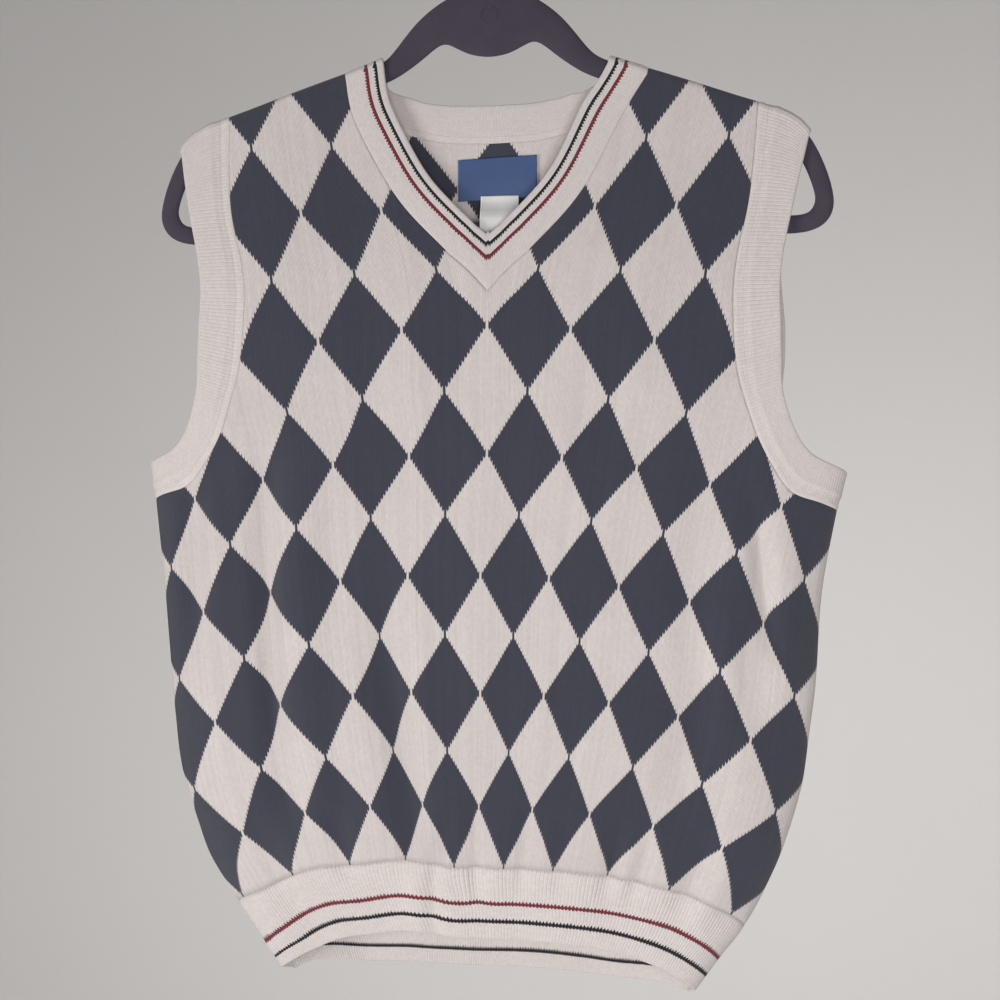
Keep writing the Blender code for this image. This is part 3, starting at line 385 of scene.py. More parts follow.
class StudioSettings(bpy.types.PropertyGroup):
    """The room and its light."""

    backdrop: colour("Backdrop", "Paint of the floor and backdrop", 0.62, 0.608, 0.60)
    key_power: power("Key power", "Power of the large side light", 20.0)
    fill_power: power("Fill power", "Power of the broad front light", 7.4)
    back_power: power("Back power", "Power of the light behind the garment", 9.0)
    wall_power: power("Wall power", "Power of the light that washes the wall", 56.0)
    sky: FloatProperty(
        name="Sky", description="Strength of the even light from all round", default=0.28, min=0.0, max=4.0
    )


# ------------------------------------------------------------------ curves through tables
def along(table, key, column, place):
    """The values of a table's column where its key column is `place`, on a smooth curve."""
    keys = np.array([getattr(line, key) for line in table])
    values = np.array([getattr(line, column) for line in table])
    k = np.clip(np.searchsorted(keys, place, side="right") - 1, 0, len(keys) - 2)
    before = np.maximum(k - 1, 0)
    after = np.minimum(k + 2, len(keys) - 1)
    step = keys[k + 1] - keys[k]
    t = np.clip((place - keys[k]) / step, 0.0, 1.0)
    rise = values[k + 1] - values[k]
    leaving = (values[k + 1] - values[before]) / (keys[k + 1] - keys[before])
    arriving = (values[after] - values[k]) / (keys[after] - keys[k])
    bend = step * t * (1 - t) * (leaving * (1 - t) - arriving * t)
    return values[k] + rise * t * t * (3 - 2 * t) + bend


def smooth_curve(places, steps):
    """Points of a smooth curve through the places, a number of steps from each to the next."""
    fine = []
    for k in range(len(places) - 1):
        before, after = places[max(k - 1, 0)], places[min(k + 2, len(places) - 1)]
        for step in range(steps):
            t = step / steps
            spot = []
            for a, b, c, d in zip(before, places[k], places[k + 1], after):
                bend = (2 * a - 5 * b + 4 * c - d) * t * t + (3 * b - a - 3 * c + d) * t**3
                spot.append(b + 0.5 * ((c - a) * t + bend))
            fine.append(tuple(spot))
    fine.append(tuple(places[-1]))
    return np.array(fine)


def run_lengths(spots):
    """Length along a run of points up to each of them."""
    steps = np.linalg.norm(np.diff(spots, axis=0), axis=1)
    return np.concatenate([[0.0], np.cumsum(steps)])


def resample(spots, lengths, wanted):
    """Points of a run at the wanted lengths along it."""
    return np.stack([np.interp(wanted, lengths, spots[:, k]) for k in range(spots.shape[1])], axis=1)


def cut_points(spots, fractions):
    """Places of the pattern at these fractions of a cut's real length."""
    lengths = run_lengths(spots * PATTERN_SCALE)
    return resample(spots, lengths, np.asarray(fractions) * lengths[-1])


def solve(function, low, high, steps=34):
    """Where an increasing function crosses zero, place by place."""
    for _ in range(steps):
        middle = (low + high) / 2
        over = function(middle) > 0
        high = np.where(over, middle, high)
        low = np.where(over, low, middle)
    return (low + high) / 2


# ------------------------------------------------------------------ how the cloth hangs
TOP_EDGE = smooth_curve(HANGER_TOP_EDGE, 2)
QUARTER_TURN = np.linspace(0.0, math.pi / 2, 41)
# How far to either side the cloth's slope is felt, in rows of the pattern and in metres.
PATTERN_STEP = 0.03
DRAPE_STEP = 0.0004


def hanger_top(x):
    """Height of the hanger's upper edge over the shoulders."""
    return np.interp(np.abs(x), TOP_EDGE[:, 0], TOP_EDGE[:, 1])


def section(height):
    """Middle and half width of the garment at a height."""
    left = along(SIDE_LINES, "height", "left", height)
    right = along(SIDE_LINES, "height", "right", height)
    return (right - left) / 2, (right + left) / 2


def depth_at(facing, height):
    """How far the cloth's inner face on one side of the garment stands off the middle plane."""
    front, back = (along(DEPTHS, "height", DEPTH_COLUMN[face], height) for face in (FRONT, BACK))
    return np.where(facing == FRONT, front, back)


def bulge(reach):
    """Share of the full depth that is left this far (0 to 1) from the middle to the side fold."""
    return np.sqrt(np.maximum(1.0 - np.minimum(np.abs(reach), 1.0) ** SIDE_FULLNESS, 0.0))


def reach_at(share, half_width, depth):
    """How far towards the side fold the cloth gets after a share of its length round there."""
    x = half_width[..., None] * np.sin(QUARTER_TURN)
    y = depth[..., None] * bulge(np.sin(QUARTER_TURN))
    steps = np.hypot(np.diff(x), np.diff(y))
    length = np.concatenate([np.zeros_like(x[..., :1]), np.cumsum(steps, axis=-1)], axis=-1)
    wanted = share * length[..., -1]
    k = np.clip((length <= wanted[..., None]).sum(axis=-1) - 1, 0, len(QUARTER_TURN) - 2)
    low = np.take_along_axis(length, k[..., None], -1)[..., 0]
    high = np.take_along_axis(length, k[..., None] + 1, -1)[..., 0]
    part = np.clip((wanted - low) / (high - low), 0.0, 1.0)
    return np.sin(QUARTER_TURN[k] + QUARTER_TURN[1] * part)


def waves(face, x, height):
    """Soft unevenness of the hanging cloth, out of step between front and back."""
    total = np.zeros(np.broadcast(x, height).shape)
    for wave in WAVES:
        turn = 2 * math.pi * (x / wave.run_x + height / wave.run_z)
        total += wave.size * np.sin(turn + wave.start * (2 + face))
    return total


def drape(face, x, height, forward=0.0, past_side=False):
    """Inner face of the cloth at x and at a height counted flat, before it turns over the hanger."""
    middle, half_width = section(height)
    rim = along(DEPTHS, "height", "rim", height)
    reach = (x - middle) / half_width
    freedom = 1.0 - rim / WRAP_RADIUS
    facing = np.where(past_side, -face, face)
    off = rim + (depth_at(facing, height) - rim) * bulge(reach) + forward
    off = off + waves(facing, x, height) * bulge(reach) * freedom
    y = facing * off - SIDE_TWIST * np.clip(reach, -1.0, 1.0) * freedom
    lean = PATTERN_LEAN + HEM_LEAN * np.clip((HEM_LEAN_TOP - height) / HEM_LEAN_REACH, 0.0, 1.0)
    low = np.clip((CORNER_TOP - height) / CORNER_FADE, 0.0, 1.0)
    corner = np.clip((-x - CORNER_START) / CORNER_REACH, 0.0, 1.0)
    z = height - lean * x * freedom - CORNER_DROP * corner**2 * low**2
    turn_start = hanger_top(x) + HANGER_FIT - WRAP_RADIUS
    angle = np.maximum(z - turn_start, 0.0) / WRAP_RADIUS
    y = y * np.cos(angle)
    z = np.minimum(z, turn_start) + WRAP_RADIUS * np.sin(angle)
    return np.stack(np.broadcast_arrays(x, y, z), axis=-1)


def fold_effect(face, across, row):
    """How far the folds bring each place forward, draw it sideways and let it sag."""
    forward, shift, sag = (np.zeros_like(across) for _ in range(3))
    for fold in FOLDS:
        if fold.face != face:
            continue
        part = np.clip((row - fold.low) / (fold.high - fold.low), 0.0, 1.0)
        fade = np.sin(math.pi * part) ** FOLD_FADE
        off = (across - fold.across - fold.drift * row) / fold.width
        crest = np.where(np.abs(off) < 1, fade * np.cos(math.pi * off / 2) ** 2, 0.0)
        forward += fold.forward * crest
        sag += fold.sag * crest
        drawn = fold.pinch * fade * PINCH_SCALE * off * np.exp(-off * off)
        shift -= np.where(np.abs(off) < PINCH_REACH, drawn, 0.0)
    return forward, shift, sag


def fold_at(face, across):
    """How far from a panel's middle its pattern turns round the garment's side."""
    front = np.where(across < 0, FRONT_FOLD[RIGHT], FRONT_FOLD[LEFT])
    return front if face == FRONT else 2 * PANEL_HALF - front


def looseness(face, row):
    """How much looser than at the sides a row is in the middle, on its two sides."""
    return (along(PATTERN_ROWS[face], "row", column, row) for column in ("left_loose", "right_loose"))


def flat_place(face, across, row):
    """x, flat height and fold of places in a panel's pattern, before they are draped."""
    across, row = np.broadcast_arrays(np.asarray(across, float), np.asarray(row, float))
    rows = PATTERN_ROWS[face]
    far = np.abs(across)
    past_side = far > fold_at(face, across)
    share = np.where(past_side, (2 * PANEL_HALF - far) / fold_at(-face, across), far / fold_at(face, across))
    forward, shift, sag = fold_effect(face, across, row)
    drop = along(rows, "row", "drop", row) * (far / PANEL_HALF) ** along(rows, "row", "late", row)
    height = along(rows, "row", "height", row) - drop - sag
    spread = along(rows, "row", "spread", row) * np.minimum(1.0, far / NECK_SPREAD_REACH)
    middle, half_width = section(height)
    rim = along(DEPTHS, "height", "rim", height)
    depth = depth_at(np.where(past_side, -face, face), height)
    left, right = looseness(face, row)
    loose = np.where(past_side, ROUND_THE_SIDE, np.where(across < 0, left, right))
    reach = reach_at(share * (1 + loose * (1 - share * share)), half_width, depth - rim)
    side = np.where(across >= 0, 1.0, -1.0)
    x = middle + side * (half_width * reach + spread) + shift
    return x, height, forward * bulge(reach), past_side


def hang(face, across, row):
    """The points of a panel's inner face at places in its pattern."""
    return drape(face, *flat_place(face, across, row))


def unit(vectors):
    """The vectors at a length of one."""
    return vectors / np.maximum(np.linalg.norm(vectors, axis=-1, keepdims=True), 1e-12)


def facing_out(face, surface, sideways, upwards, step):
    """Outward directions of the cloth that a function lays out from two coordinates."""
    right = surface(face, sideways + step, upwards) - surface(face, sideways - step, upwards)
    up = surface(face, sideways, upwards + step) - surface(face, sideways, upwards - step)
    return unit(np.cross(right, up) * -face)


def outward(face, across, row):
    """Outward directions of the cloth at places in its pattern."""
    return facing_out(face, hang, across, row, PATTERN_STEP)


def shoulder_row(face, across):
    """The rows that lie on top of the hanger's edge."""

    def over_the_top(row):
        x, height, _, _ = flat_place(face, across, row)
        return height - hanger_top(x) - HANGER_FIT + WRAP_RADIUS * (1 - math.pi / 2)

    low, high = (np.full(np.shape(across), row) for row in SHOULDER_ROWS)
    return solve(over_the_top, low, high)


def side_row(height):
    """The back's row whose side seam is at this height."""
    return float(solve(lambda row: hang(BACK, PANEL_HALF, row)[..., 2] - height, *SEARCH_ROWS))


def across_at(face, side, x):
    """How far from a panel's middle its shoulder passes over the hanger at x."""

    def beyond(across):
        place = side * across
        return np.abs(flat_place(face, place, shoulder_row(face, place))[0]) - x

    return float(solve(beyond, *SEARCH_COLUMNS, 24))


def even_across(face, row, share):
    """How far across the cloth is when this share of its width has been passed."""
    loose = sum(looseness(face, row)) / 2
    low, high = np.zeros(np.broadcast(row, share).shape), np.ones(np.broadcast(row, share).shape)
    return PANEL_HALF * solve(lambda part: part * (1 + loose * (1 - part * part)) - share, low, high)


# ------------------------------------------------------------------ seam lines of the panels
Seams = namedtuple("Seams", "neck_path arm_path neck arm under tops")
CUT_STEPS = 16
# How late on its way up a panel's upper half bends over to the hanger's line.
SHOULDER_LATE = 4


def seam_lines(face, side):
    """The cuts of half a panel: the smooth paths, and their places level by level."""
    grid = GRIDS[face]
    tops = []
    for x in (SHOULDER_NECK_X[side], SHOULDER_END_X):
        across = across_at(face, side, x)
        tops.append(Cut(across, float(shoulder_row(face, side * across))))
    turns = SHOULDER_TURN_ROWS * (1 - np.arange(1, grid.turns + 1) / grid.turns)

    side_height = hang(FRONT, PANEL_HALF, UNDERARM_ROW)[2]
    underarm = UNDERARM_ROW if face == FRONT else side_row(side_height)
    arm_cuts = (Cut(PANEL_HALF, underarm),) + ARMHOLE_CUT[face][1:-1]
    arm_cuts += (Cut(tops[1].across, tops[1].row - SHOULDER_TURN_ROWS),)
    arm_path = smooth_curve(arm_cuts, CUT_STEPS)
    low = arm_path[arm_path[:, 1] < arm_cuts[4].row][::-1]
    columns = PANEL_HALF * np.arange(grid.columns, grid.upper_columns - 1, -1) / grid.columns
    under = np.stack([columns, np.interp(columns, low[:, 0], low[:, 1])], axis=1)
    upper = np.concatenate([under[-1:], arm_path[arm_path[:, 0] < under[-1, 0] - 0.05]])
    levels = grid.to_neck + grid.to_shoulder
    arm = cut_points(upper, np.arange(levels + 1) / levels)
    arm_turn = np.stack([np.full(grid.turns, tops[1].across), tops[1].row - turns], axis=1)

    neck_cuts = NECK_CUT[face][:-1] + (Cut(tops[0].across, tops[0].row - SHOULDER_TURN_ROWS),)
    neck_path = smooth_curve(neck_cuts, CUT_STEPS)
    bottom = arm[0, 1]
    middle_rows = bottom + (neck_cuts[0].row - bottom) * np.arange(grid.to_neck) / grid.to_neck
    middle = np.stack([np.zeros(grid.to_neck), middle_rows], axis=1)
    neck = cut_points(neck_path, np.arange(grid.to_shoulder + 1) / grid.to_shoulder)
    neck_turn = np.stack([np.full(grid.turns, tops[0].across), tops[0].row - turns], axis=1)
    return Seams(
        neck_path,
        arm_path,
        np.concatenate([middle, neck, neck_turn]),
        np.concatenate([arm, arm_turn]),
        under,
        tops,
    )


SEAMS = {(face, side): seam_lines(face, side) for face in (FRONT, BACK) for side in (RIGHT, LEFT)}


def hem_row(face, below):
    """The row that is by the side seam where the front's row this far below its first one is."""
    return -below if face == FRONT else side_row(hang(FRONT, PANEL_HALF, -below)[2])


def upper_places(face, side):
    """Pattern places of a panel's upper half on one side, level by level from the middle outwards."""
    seams, grid = SEAMS[face, side], GRIDS[face]
    shares = np.arange(grid.upper_columns + 1) / grid.upper_columns
    main = grid.to_neck + grid.to_shoulder
    across = seams.neck[:, :1] + (seams.arm[:, :1] - seams.neck[:, :1]) * shares
    row = seams.neck[:, 1:] + (seams.arm[:, 1:] - seams.neck[:, 1:]) * shares
    lift = shoulder_row(face, side * across[main]) - SHOULDER_TURN_ROWS - row[main]
    level = np.arange(len(across))[:, None]
    row = row + lift * (np.minimum(level, main) / main) ** SHOULDER_LATE
    turned = shoulder_row(face, side * across[main + 1 :])
    row[main + 1 :] = turned - (seams.arm[-1, 1] - seams.arm[main + 1 :, 1:])
    row[-1] -= GAP_ROWS
    return side * across, row


def body_columns(face, evenness, row):
    """How far across the columns of a panel's body stand from its middle to its side."""
    grid = GRIDS[face]
    share = np.arange(grid.columns + 1) / grid.columns
    even = even_across(face, row[:, None], share[None, :])
    across = PANEL_HALF * share + (even - PANEL_HALF * share) * evenness[:, None]
    return np.minimum(across, SIDE_LIMIT)


# ------------------------------------------------------------------ meshes
def grid_quads(index, flip=False):
    """Quads between neighbouring lines of an array of point numbers."""
    corners = (index[:-1, :-1], index[:-1, 1:], index[1:, 1:], index[1:, :-1])
    quads = np.stack([corner.ravel() for corner in corners], axis=1)
    return quads[:, ::-1] if flip else quads


def cloth_piece(name, points, quads, uvs, finishes, finish_numbers=None):
    """A knitted or woven piece from its quads, facing out, with its pattern laid on as a UV map."""
    a, b, c, d = (points[quads[:, k]] for k in range(4))
    volume = (a * np.cross(b, c)).sum() + (a * np.cross(c, d)).sum()
    if volume < 0:
        quads, uvs = quads[:, ::-1], uvs[:, ::-1]
    mesh = bpy.data.meshes.new(name)
    mesh.from_pydata(points.tolist(), [], quads.tolist())
    mesh.uv_layers.new(name="Pattern").data.foreach_set("uv", np.ascontiguousarray(uvs, np.float32).ravel())
    for finish in finishes:
        mesh.materials.append(finish)
    if finish_numbers is not None:
        mesh.polygons.foreach_set("material_index", np.asarray(finish_numbers, np.int32))
    mesh.shade_smooth()
    made = bpy.data.objects.new(name, mesh)
    bpy.context.scene.collection.objects.link(made)
    return made


def open_edges(quads):
    """Directed edges that only one quad uses."""
    edges = np.concatenate([quads[:, [k, (k + 1) % 4]] for k in range(4)])
    keys = np.sort(edges, axis=1)
    _, first, uses = np.unique(keys, axis=0, return_index=True, return_counts=True)
    return edges[first[uses == 1]]


def shell_piece(name, inner, outer, quads, chart, finish):
    """A closed shell between the two faces of a cloth, with its cut edges."""
    count = len(inner)
    edges = open_edges(quads)
    rims = np.stack([edges[:, 0], edges[:, 1], edges[:, 1] + count, edges[:, 0] + count], axis=1)
    shell = np.concatenate([quads + count, quads[:, ::-1], rims])
    return cloth_piece(name, np.concatenate([inner, outer]), shell, chart[shell % count], [finish])


def place_piece(piece, node):
    """Hangs a finished piece on the frame in place of its node."""
    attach(piece, "root")
    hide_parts(node)


def ring_piece(name, stations, phases, breadths, finishes, finish_numbers):
    """A closed ring through sections; phases run round the ring and breadths round the section."""
    count, width = stations.shape[:2]
    index = np.arange(count * width).reshape(count, width)
    loop = np.concatenate([index, index[:1]])
    loop = np.concatenate([loop, loop[:, :1]], axis=1)
    quads = grid_quads(loop)
    u = np.repeat(phases[:, None], width + 1, axis=1)
    v = np.broadcast_to(np.concatenate([breadths, breadths[:1]]), u.shape)
    corner_uv = []
    for low, side in ((0, 0), (0, 1), (1, 1), (1, 0)):
        rows = slice(low, count + low)
        columns = slice(side, width + side)
        corner_uv.append(np.stack([u[rows, columns].ravel(), v[rows, columns].ravel()], axis=1))
    uvs = np.stack(corner_uv, axis=1)
    numbers = np.tile(finish_numbers, count)
    return cloth_piece(name, stations.reshape(-1, 3), quads, uvs, finishes, numbers)


# ------------------------------------------------------------------ finishes
class Sketch:
    """Draws one finish's nodes, a step at a time."""

    def __init__(self, name):
        self.finish = bpy.data.materials.new(name)
        self.finish.use_nodes = True
        self.tree = self.finish.node_tree
        self.surface = self.tree.nodes["Principled BSDF"]

    def node(self, kind, **values):
        made = self.tree.nodes.new(kind)
        for key, value in values.items():
            setattr(made, key, value)
        return made

    def feed(self, socket, value):
        if isinstance(value, bpy.types.NodeSocket):
            self.tree.links.new(value, socket)
        elif isinstance(value, (tuple, list)) and len(value) == 3 and socket.type == "RGBA":
            socket.default_value = (*value, 1.0)
        else:
            socket.default_value = value

    def math(self, operation, first, second=0.0, third=0.0):
        made = self.node("ShaderNodeMath", operation=operation)
        for socket, value in zip(made.inputs, (first, second, third)):
            self.feed(socket, value)
        return made.outputs[0]

    def times(self, product, *others):
        """The product of two or more values."""
        for other in others:
            product = self.math("MULTIPLY", product, other)
        return product

    def mix(self, share, first, second):
        made = self.node("ShaderNodeMix", data_type="RGBA")
        for socket, value in ((made.inputs[0], share), (made.inputs[6], first), (made.inputs[7], second)):
            self.feed(socket, value)
        return made.outputs[2]

    def shade(self, paint, amount):
        """A colour made darker or lighter by a factor."""
        made = self.node("ShaderNodeMix", data_type="RGBA", blend_type="MULTIPLY")
        grey = self.node("ShaderNodeCombineColor")
        for socket in grey.inputs:
            self.feed(socket, amount)
        made.inputs[0].default_value = 1.0
        self.feed(made.inputs[6], paint)
        self.feed(made.inputs[7], grey.outputs[0])
        return made.outputs[2]

    def pattern(self):
        """Across and along the piece's own pattern."""
        chart = self.node("ShaderNodeUVMap", uv_map="Pattern")
        parts = self.node("ShaderNodeSeparateXYZ")
        self.feed(parts.inputs[0], chart.outputs[0])
        return parts.outputs[0], parts.outputs[1]

    def noise(self, scale, detail=2.0, roughness=0.5):
        """Soft unevenness through the piece, from 0 to 1."""
        made = self.node("ShaderNodeTexNoise")
        self.feed(made.inputs["Vector"], self.node("ShaderNodeTexCoord").outputs["Object"])
        for key, value in (("Scale", scale), ("Detail", detail), ("Roughness", roughness)):
            made.inputs[key].default_value = value
        return made.outputs["Fac"]

    def spread(self, value, low, high):
        """A value from 0 to 1 spread from low to high."""
        return self.math("MULTIPLY_ADD", value, high - low, low)

    def speckle(self, first, second):
        """A random value for each pair of numbers."""
        pair = self.node("ShaderNodeCombineXYZ")
        self.feed(pair.inputs[0], first)
        self.feed(pair.inputs[1], second)
        made = self.node("ShaderNodeTexWhiteNoise", noise_dimensions="2D")
        self.feed(made.inputs["Vector"], pair.outputs[0])
        return made.outputs["Value"]

    def bump(self, height, distance, strength):
        made = self.node("ShaderNodeBump")
        made.inputs["Strength"].default_value = strength
        made.inputs["Distance"].default_value = distance
        self.feed(made.inputs["Height"], height)
        self.feed(self.surface.inputs["Normal"], made.outputs[0])

    def set(self, **values):
        for key, value in values.items():
            self.feed(self.surface.inputs[key.replace("_", " ")], value)


def yarn_finish(s, yarn, lit, stitch, depth, strength):
    """Wool and cotton: matt, with a soft nap at grazing angles and fuzz over the stitches."""
    s.set(Base_Color=s.shade(yarn, lit), Roughness=0.93, Specular_IOR_Level=0.18)
    s.set(Sheen_Weight=0.16, Sheen_Roughness=0.55)
    fuzz = s.noise(1500.0, 3.0, 0.7)
    s.bump(s.math("MULTIPLY_ADD", fuzz, 0.25, stitch), depth, strength)
    return s.finish


def stitches(s, x, y, climb):
    """Knit stitches: each wale holds a column of V shapes whose legs climb away from its middle."""
    wander = s.noise(60.0, 2.0)
    x = s.math("ADD", x, s.spread(wander, -0.10, 0.10))
    wale = s.math("FLOOR", s.math("ADD", x, 0.5))
    off = s.math("PINGPONG", x, 0.5)
    raised = s.math("MULTIPLY_ADD", off, -climb, y)
    course = s.math("FLOOR", raised)
    along_leg = s.math("SINE", s.times(s.math("FRACT", raised), math.pi))
    across_leg = s.math("SINE", s.times(off, 2 * math.pi))
    leg = s.math("POWER", s.math("MAXIMUM", across_leg, 0.0), 0.7)
    height = s.times(leg, s.spread(along_leg, 0.45, 1.0))
    return wale, course, height


def jersey(name, sizes, colours):
    """The panels' plain knit in two yarns, with the harlequin counted out in whole stitches."""
    s = Sketch(name)
    across, row = s.pattern()
    x = s.times(across, float(sizes.wales))
    y = s.times(row, float(sizes.courses))
    wale, course, height = stitches(s, x, y, 2.6)
    column = s.math("PINGPONG", s.math("DIVIDE", wale, float(sizes.wales)), 1.0)
    centre = s.math("ADD", course, 0.5)
    line = s.math("PINGPONG", s.math("DIVIDE", centre, float(sizes.courses)), 1.0)
    dark = s.math("GREATER_THAN", s.math("ADD", column, line), 0.999)
    yarn = s.mix(dark, tuple(colours.cream), tuple(colours.navy))
    tone = s.spread(s.speckle(wale, course), 0.95, 1.04)
    cloud = s.spread(s.noise(22.0, 3.0), 0.95, 1.05)
    streak = s.spread(s.speckle(wale, 7.0), 0.965, 1.03)
    # Painted shade: the yarn is darker between the stitches' legs and lighter on them. Tone, cloud and streak
    # are the yarn's own uneven colour.
    lit = s.times(tone, s.spread(height, 0.80, 1.06), cloud, streak)
    return yarn_finish(s, yarn, lit, height, 0.0004, 0.65)


# A stripe across a rib: its middle and width, its yarn, and how far its stitches spike out of
# either edge.
Stripe = namedtuple("Stripe", "middle width paint near_spike far_spike")
RIB_COURSE = 0.00098


def rib_knit(name, colours, stripes, groove_shade, join_groove_shade=None, linked=None):
    """Ribbed knit: u counts ribs and v runs across the band in metres, with its stripes knitted in."""
    s = Sketch(name)
    ribs, breadth = s.pattern()
    ribs = s.math("ADD", ribs, 0.5)
    wander = s.spread(s.noise(140.0, 2.0), -0.00015, 0.00015)
    courses = s.math("DIVIDE", s.math("ADD", breadth, wander), RIB_COURSE)
    wale, line, height = stitches(s, ribs, courses, 1.3)
    off_ridge = s.times(s.math("PINGPONG", ribs, 0.5), 2.0)
    spike = s.times(s.math("SUBTRACT", 1.0, off_ridge), s.spread(s.speckle(wale, 3.0), 0.75, 1.15))
    yarn = tuple(colours.shaded_rib_cream)
    for stripe in stripes:
        near = s.math("MULTIPLY_ADD", spike, -stripe.near_spike, stripe.middle - stripe.width / 2)
        far = s.math("MULTIPLY_ADD", spike, stripe.far_spike, stripe.middle + stripe.width / 2)
        inside = s.times(s.math("GREATER_THAN", breadth, near), s.math("LESS_THAN", breadth, far))
        yarn = s.mix(inside, yarn, tuple(stripe.paint))
    tone = s.spread(s.speckle(wale, line), 0.95, 1.04)
    cloud = s.spread(s.noise(25.0, 3.0), 0.96, 1.04)
    # Painted shade: the yarn is darker between the stitches' legs and down in the grooves between the ribs,
    # by groove_shade.
    groove = s.math("POWER", off_ridge, 6.0)
    lit = s.times(tone, s.spread(height, 0.88, 1.04), cloud, s.spread(groove, 1.0, groove_shade))
    # Painted shade: within this distance of the join, the deep grooves between the ribs are painted much
    # darker.
    if join_groove_shade is not None:
        near = s.math("LESS_THAN", breadth, join_groove_shade)
        deep = s.math("GREATER_THAN", groove, 0.45)
        lit = s.times(lit, s.spread(s.times(deep, near), 1.0, 0.62))
    # Painted shade: a thin line along the linking is painted darker, as shade in the groove that the linking
    # chain sinks into. From that line to the seam the yarn is a touch lighter.
    if linked is not None:
        beyond = s.math("GREATER_THAN", breadth, linked)
        off_line = s.math("ABSOLUTE", s.math("SUBTRACT", breadth, linked))
        link_shade = s.math("LESS_THAN", off_line, 0.00035)
        lit = s.times(lit, s.spread(beyond, 1.0, 1.035), s.spread(link_shade, 1.0, 0.90))
    return yarn_finish(s, yarn, lit, height, 0.0003, 0.5)


def satin_label(name, paint, thread, edge):
    """Woven label: fine satin threads, with u and v in metres from the middle of the label."""
    s = Sketch(name)
    across, down = s.pattern()
    weft = s.math("FRACT", s.math("DIVIDE", down, thread))
    warp = s.math("FRACT", s.math("DIVIDE", across, thread * 1.6))
    rise = s.times(s.math("PINGPONG", weft, 0.5), s.spread(s.math("PINGPONG", warp, 0.5), 1.0, 1.6))
    cloud = s.noise(90.0, 3.0)
    selvedge = s.math("GREATER_THAN", s.math("ABSOLUTE", across), edge)
    # Painted shade and highlight: the label is darker between its threads and lighter over them. Cloud is the
    # satin's own uneven colour.
    lit = s.times(s.spread(rise, 0.86, 1.12), s.spread(cloud, 0.90, 1.10), s.spread(selvedge, 1.0, 1.28))
    s.set(Base_Color=s.shade(tuple(paint), lit), Roughness=0.48, Sheen_Weight=0.10, Anisotropic=0.3)
    s.bump(rise, 0.00012, 0.5)
    return s.finish


def velvet(name, paint):
    """Short dense flock: nearly black face on, with a pale nap where it turns away."""
    s = Sketch(name)
    grain = s.noise(2600.0, 2.0, 0.8)
    brushed = s.noise(38.0, 4.0, 0.6)
    lit = s.times(s.spread(grain, 0.65, 1.35), s.spread(brushed, 0.80, 1.20))
    s.set(Base_Color=s.shade(tuple(paint), lit), Roughness=1.0, Specular_IOR_Level=0.1)
    s.set(Sheen_Weight=0.55, Sheen_Roughness=0.35, Sheen_Tint=(0.72, 0.62, 0.74))
    s.bump(grain, 0.0003, 0.55)
    return s.finish


def plated_wire(name, paint):
    """Bright plated wire with faint drawing marks and handling haze."""
    s = Sketch(name)
    marks = s.noise(420.0, 2.0, 0.6)
    haze = s.noise(45.0, 3.0)
    bright = s.shade(tuple(paint), s.spread(haze, 0.90, 1.02))
    s.set(Base_Color=bright, Metallic=1.0, Roughness=s.spread(haze, 0.14, 0.30))
    s.bump(marks, 0.00003, 0.3)
    return s.finish


def backdrop_paint(name, paint):
    """Matt wall paint with a faint roller mottle."""
    s = Sketch(name)
    mottle = s.noise(1.6, 4.0)
    painted = s.shade(tuple(paint), s.spread(mottle, 0.985, 1.015))
    s.set(Base_Color=painted, Roughness=0.95, Specular_IOR_Level=0.1)
    s.bump(s.noise(240.0, 3.0), 0.0004, 0.15)
    return s.finish


# ------------------------------------------------------------------ panels
# How much of its thickness a panel keeps at its cut edges, and how its rows of points crowd upwards.
EDGE_SHARE = 0.93
BODY_CROWDING = 0.9


def panel_layout(face):
    """Places of a panel in its pattern and the quads between them."""
    grid = GRIDS[face]
    start = hem_row(face, 0.0) + GAP_ROWS
    blocks = []
    for side in (RIGHT, LEFT):
        seams = SEAMS[face, side]
        tops = np.concatenate([np.full(grid.upper_columns, seams.arm[0, 1]), seams.under[::-1, 1]])
        risen = (np.arange(grid.body_rows + 1) / grid.body_rows) ** BODY_CROWDING
        across = side * body_columns(face, 1 - risen, start + (tops[0] - start) * risen)
        row = start + (tops - start) * risen[:, None]
        blocks.append((side, across, row))
        upper_across, upper_row = upper_places(face, side)
        upper_across[0] = across[-1, : grid.upper_columns + 1]
        upper_row[0] = row[-1, : grid.upper_columns + 1]
        blocks.append((side, upper_across, upper_row))
    places, quads = [], []
    count = 0
    for side, across, row in blocks:
        index = np.arange(across.size).reshape(across.shape) + count
        count += across.size
        places.append(np.stack([across.ravel(), row.ravel()], axis=1))
        quads.append(grid_quads(index, flip=(side < 0) != (face == BACK)))
    places = np.round(np.concatenate(places), 6) + 0.0
    places, merged = np.unique(places, axis=0, return_inverse=True)
    return places, merged.ravel()[np.concatenate(quads)]


def make_panel(name, face, wall, finish):
    """A knitted panel as a thin shell: the cloth's inner face, its outer face and the cut edges."""
    places, quads = panel_layout(face)
    across, row = places[:, 0], places[:, 1]
    inner = hang(face, across, row)
    raised = np.full(len(places), wall)
    raised[np.unique(open_edges(quads))] = wall * EDGE_SHARE
    outer = inner + outward(face, across, row) * raised[:, None]
    chart = places if face == FRONT else places + (1.0 - BACK_PATTERN_SHIFT, 0.0)
    made = shell_piece(name, inner, outer, quads, chart, finish)
    return made


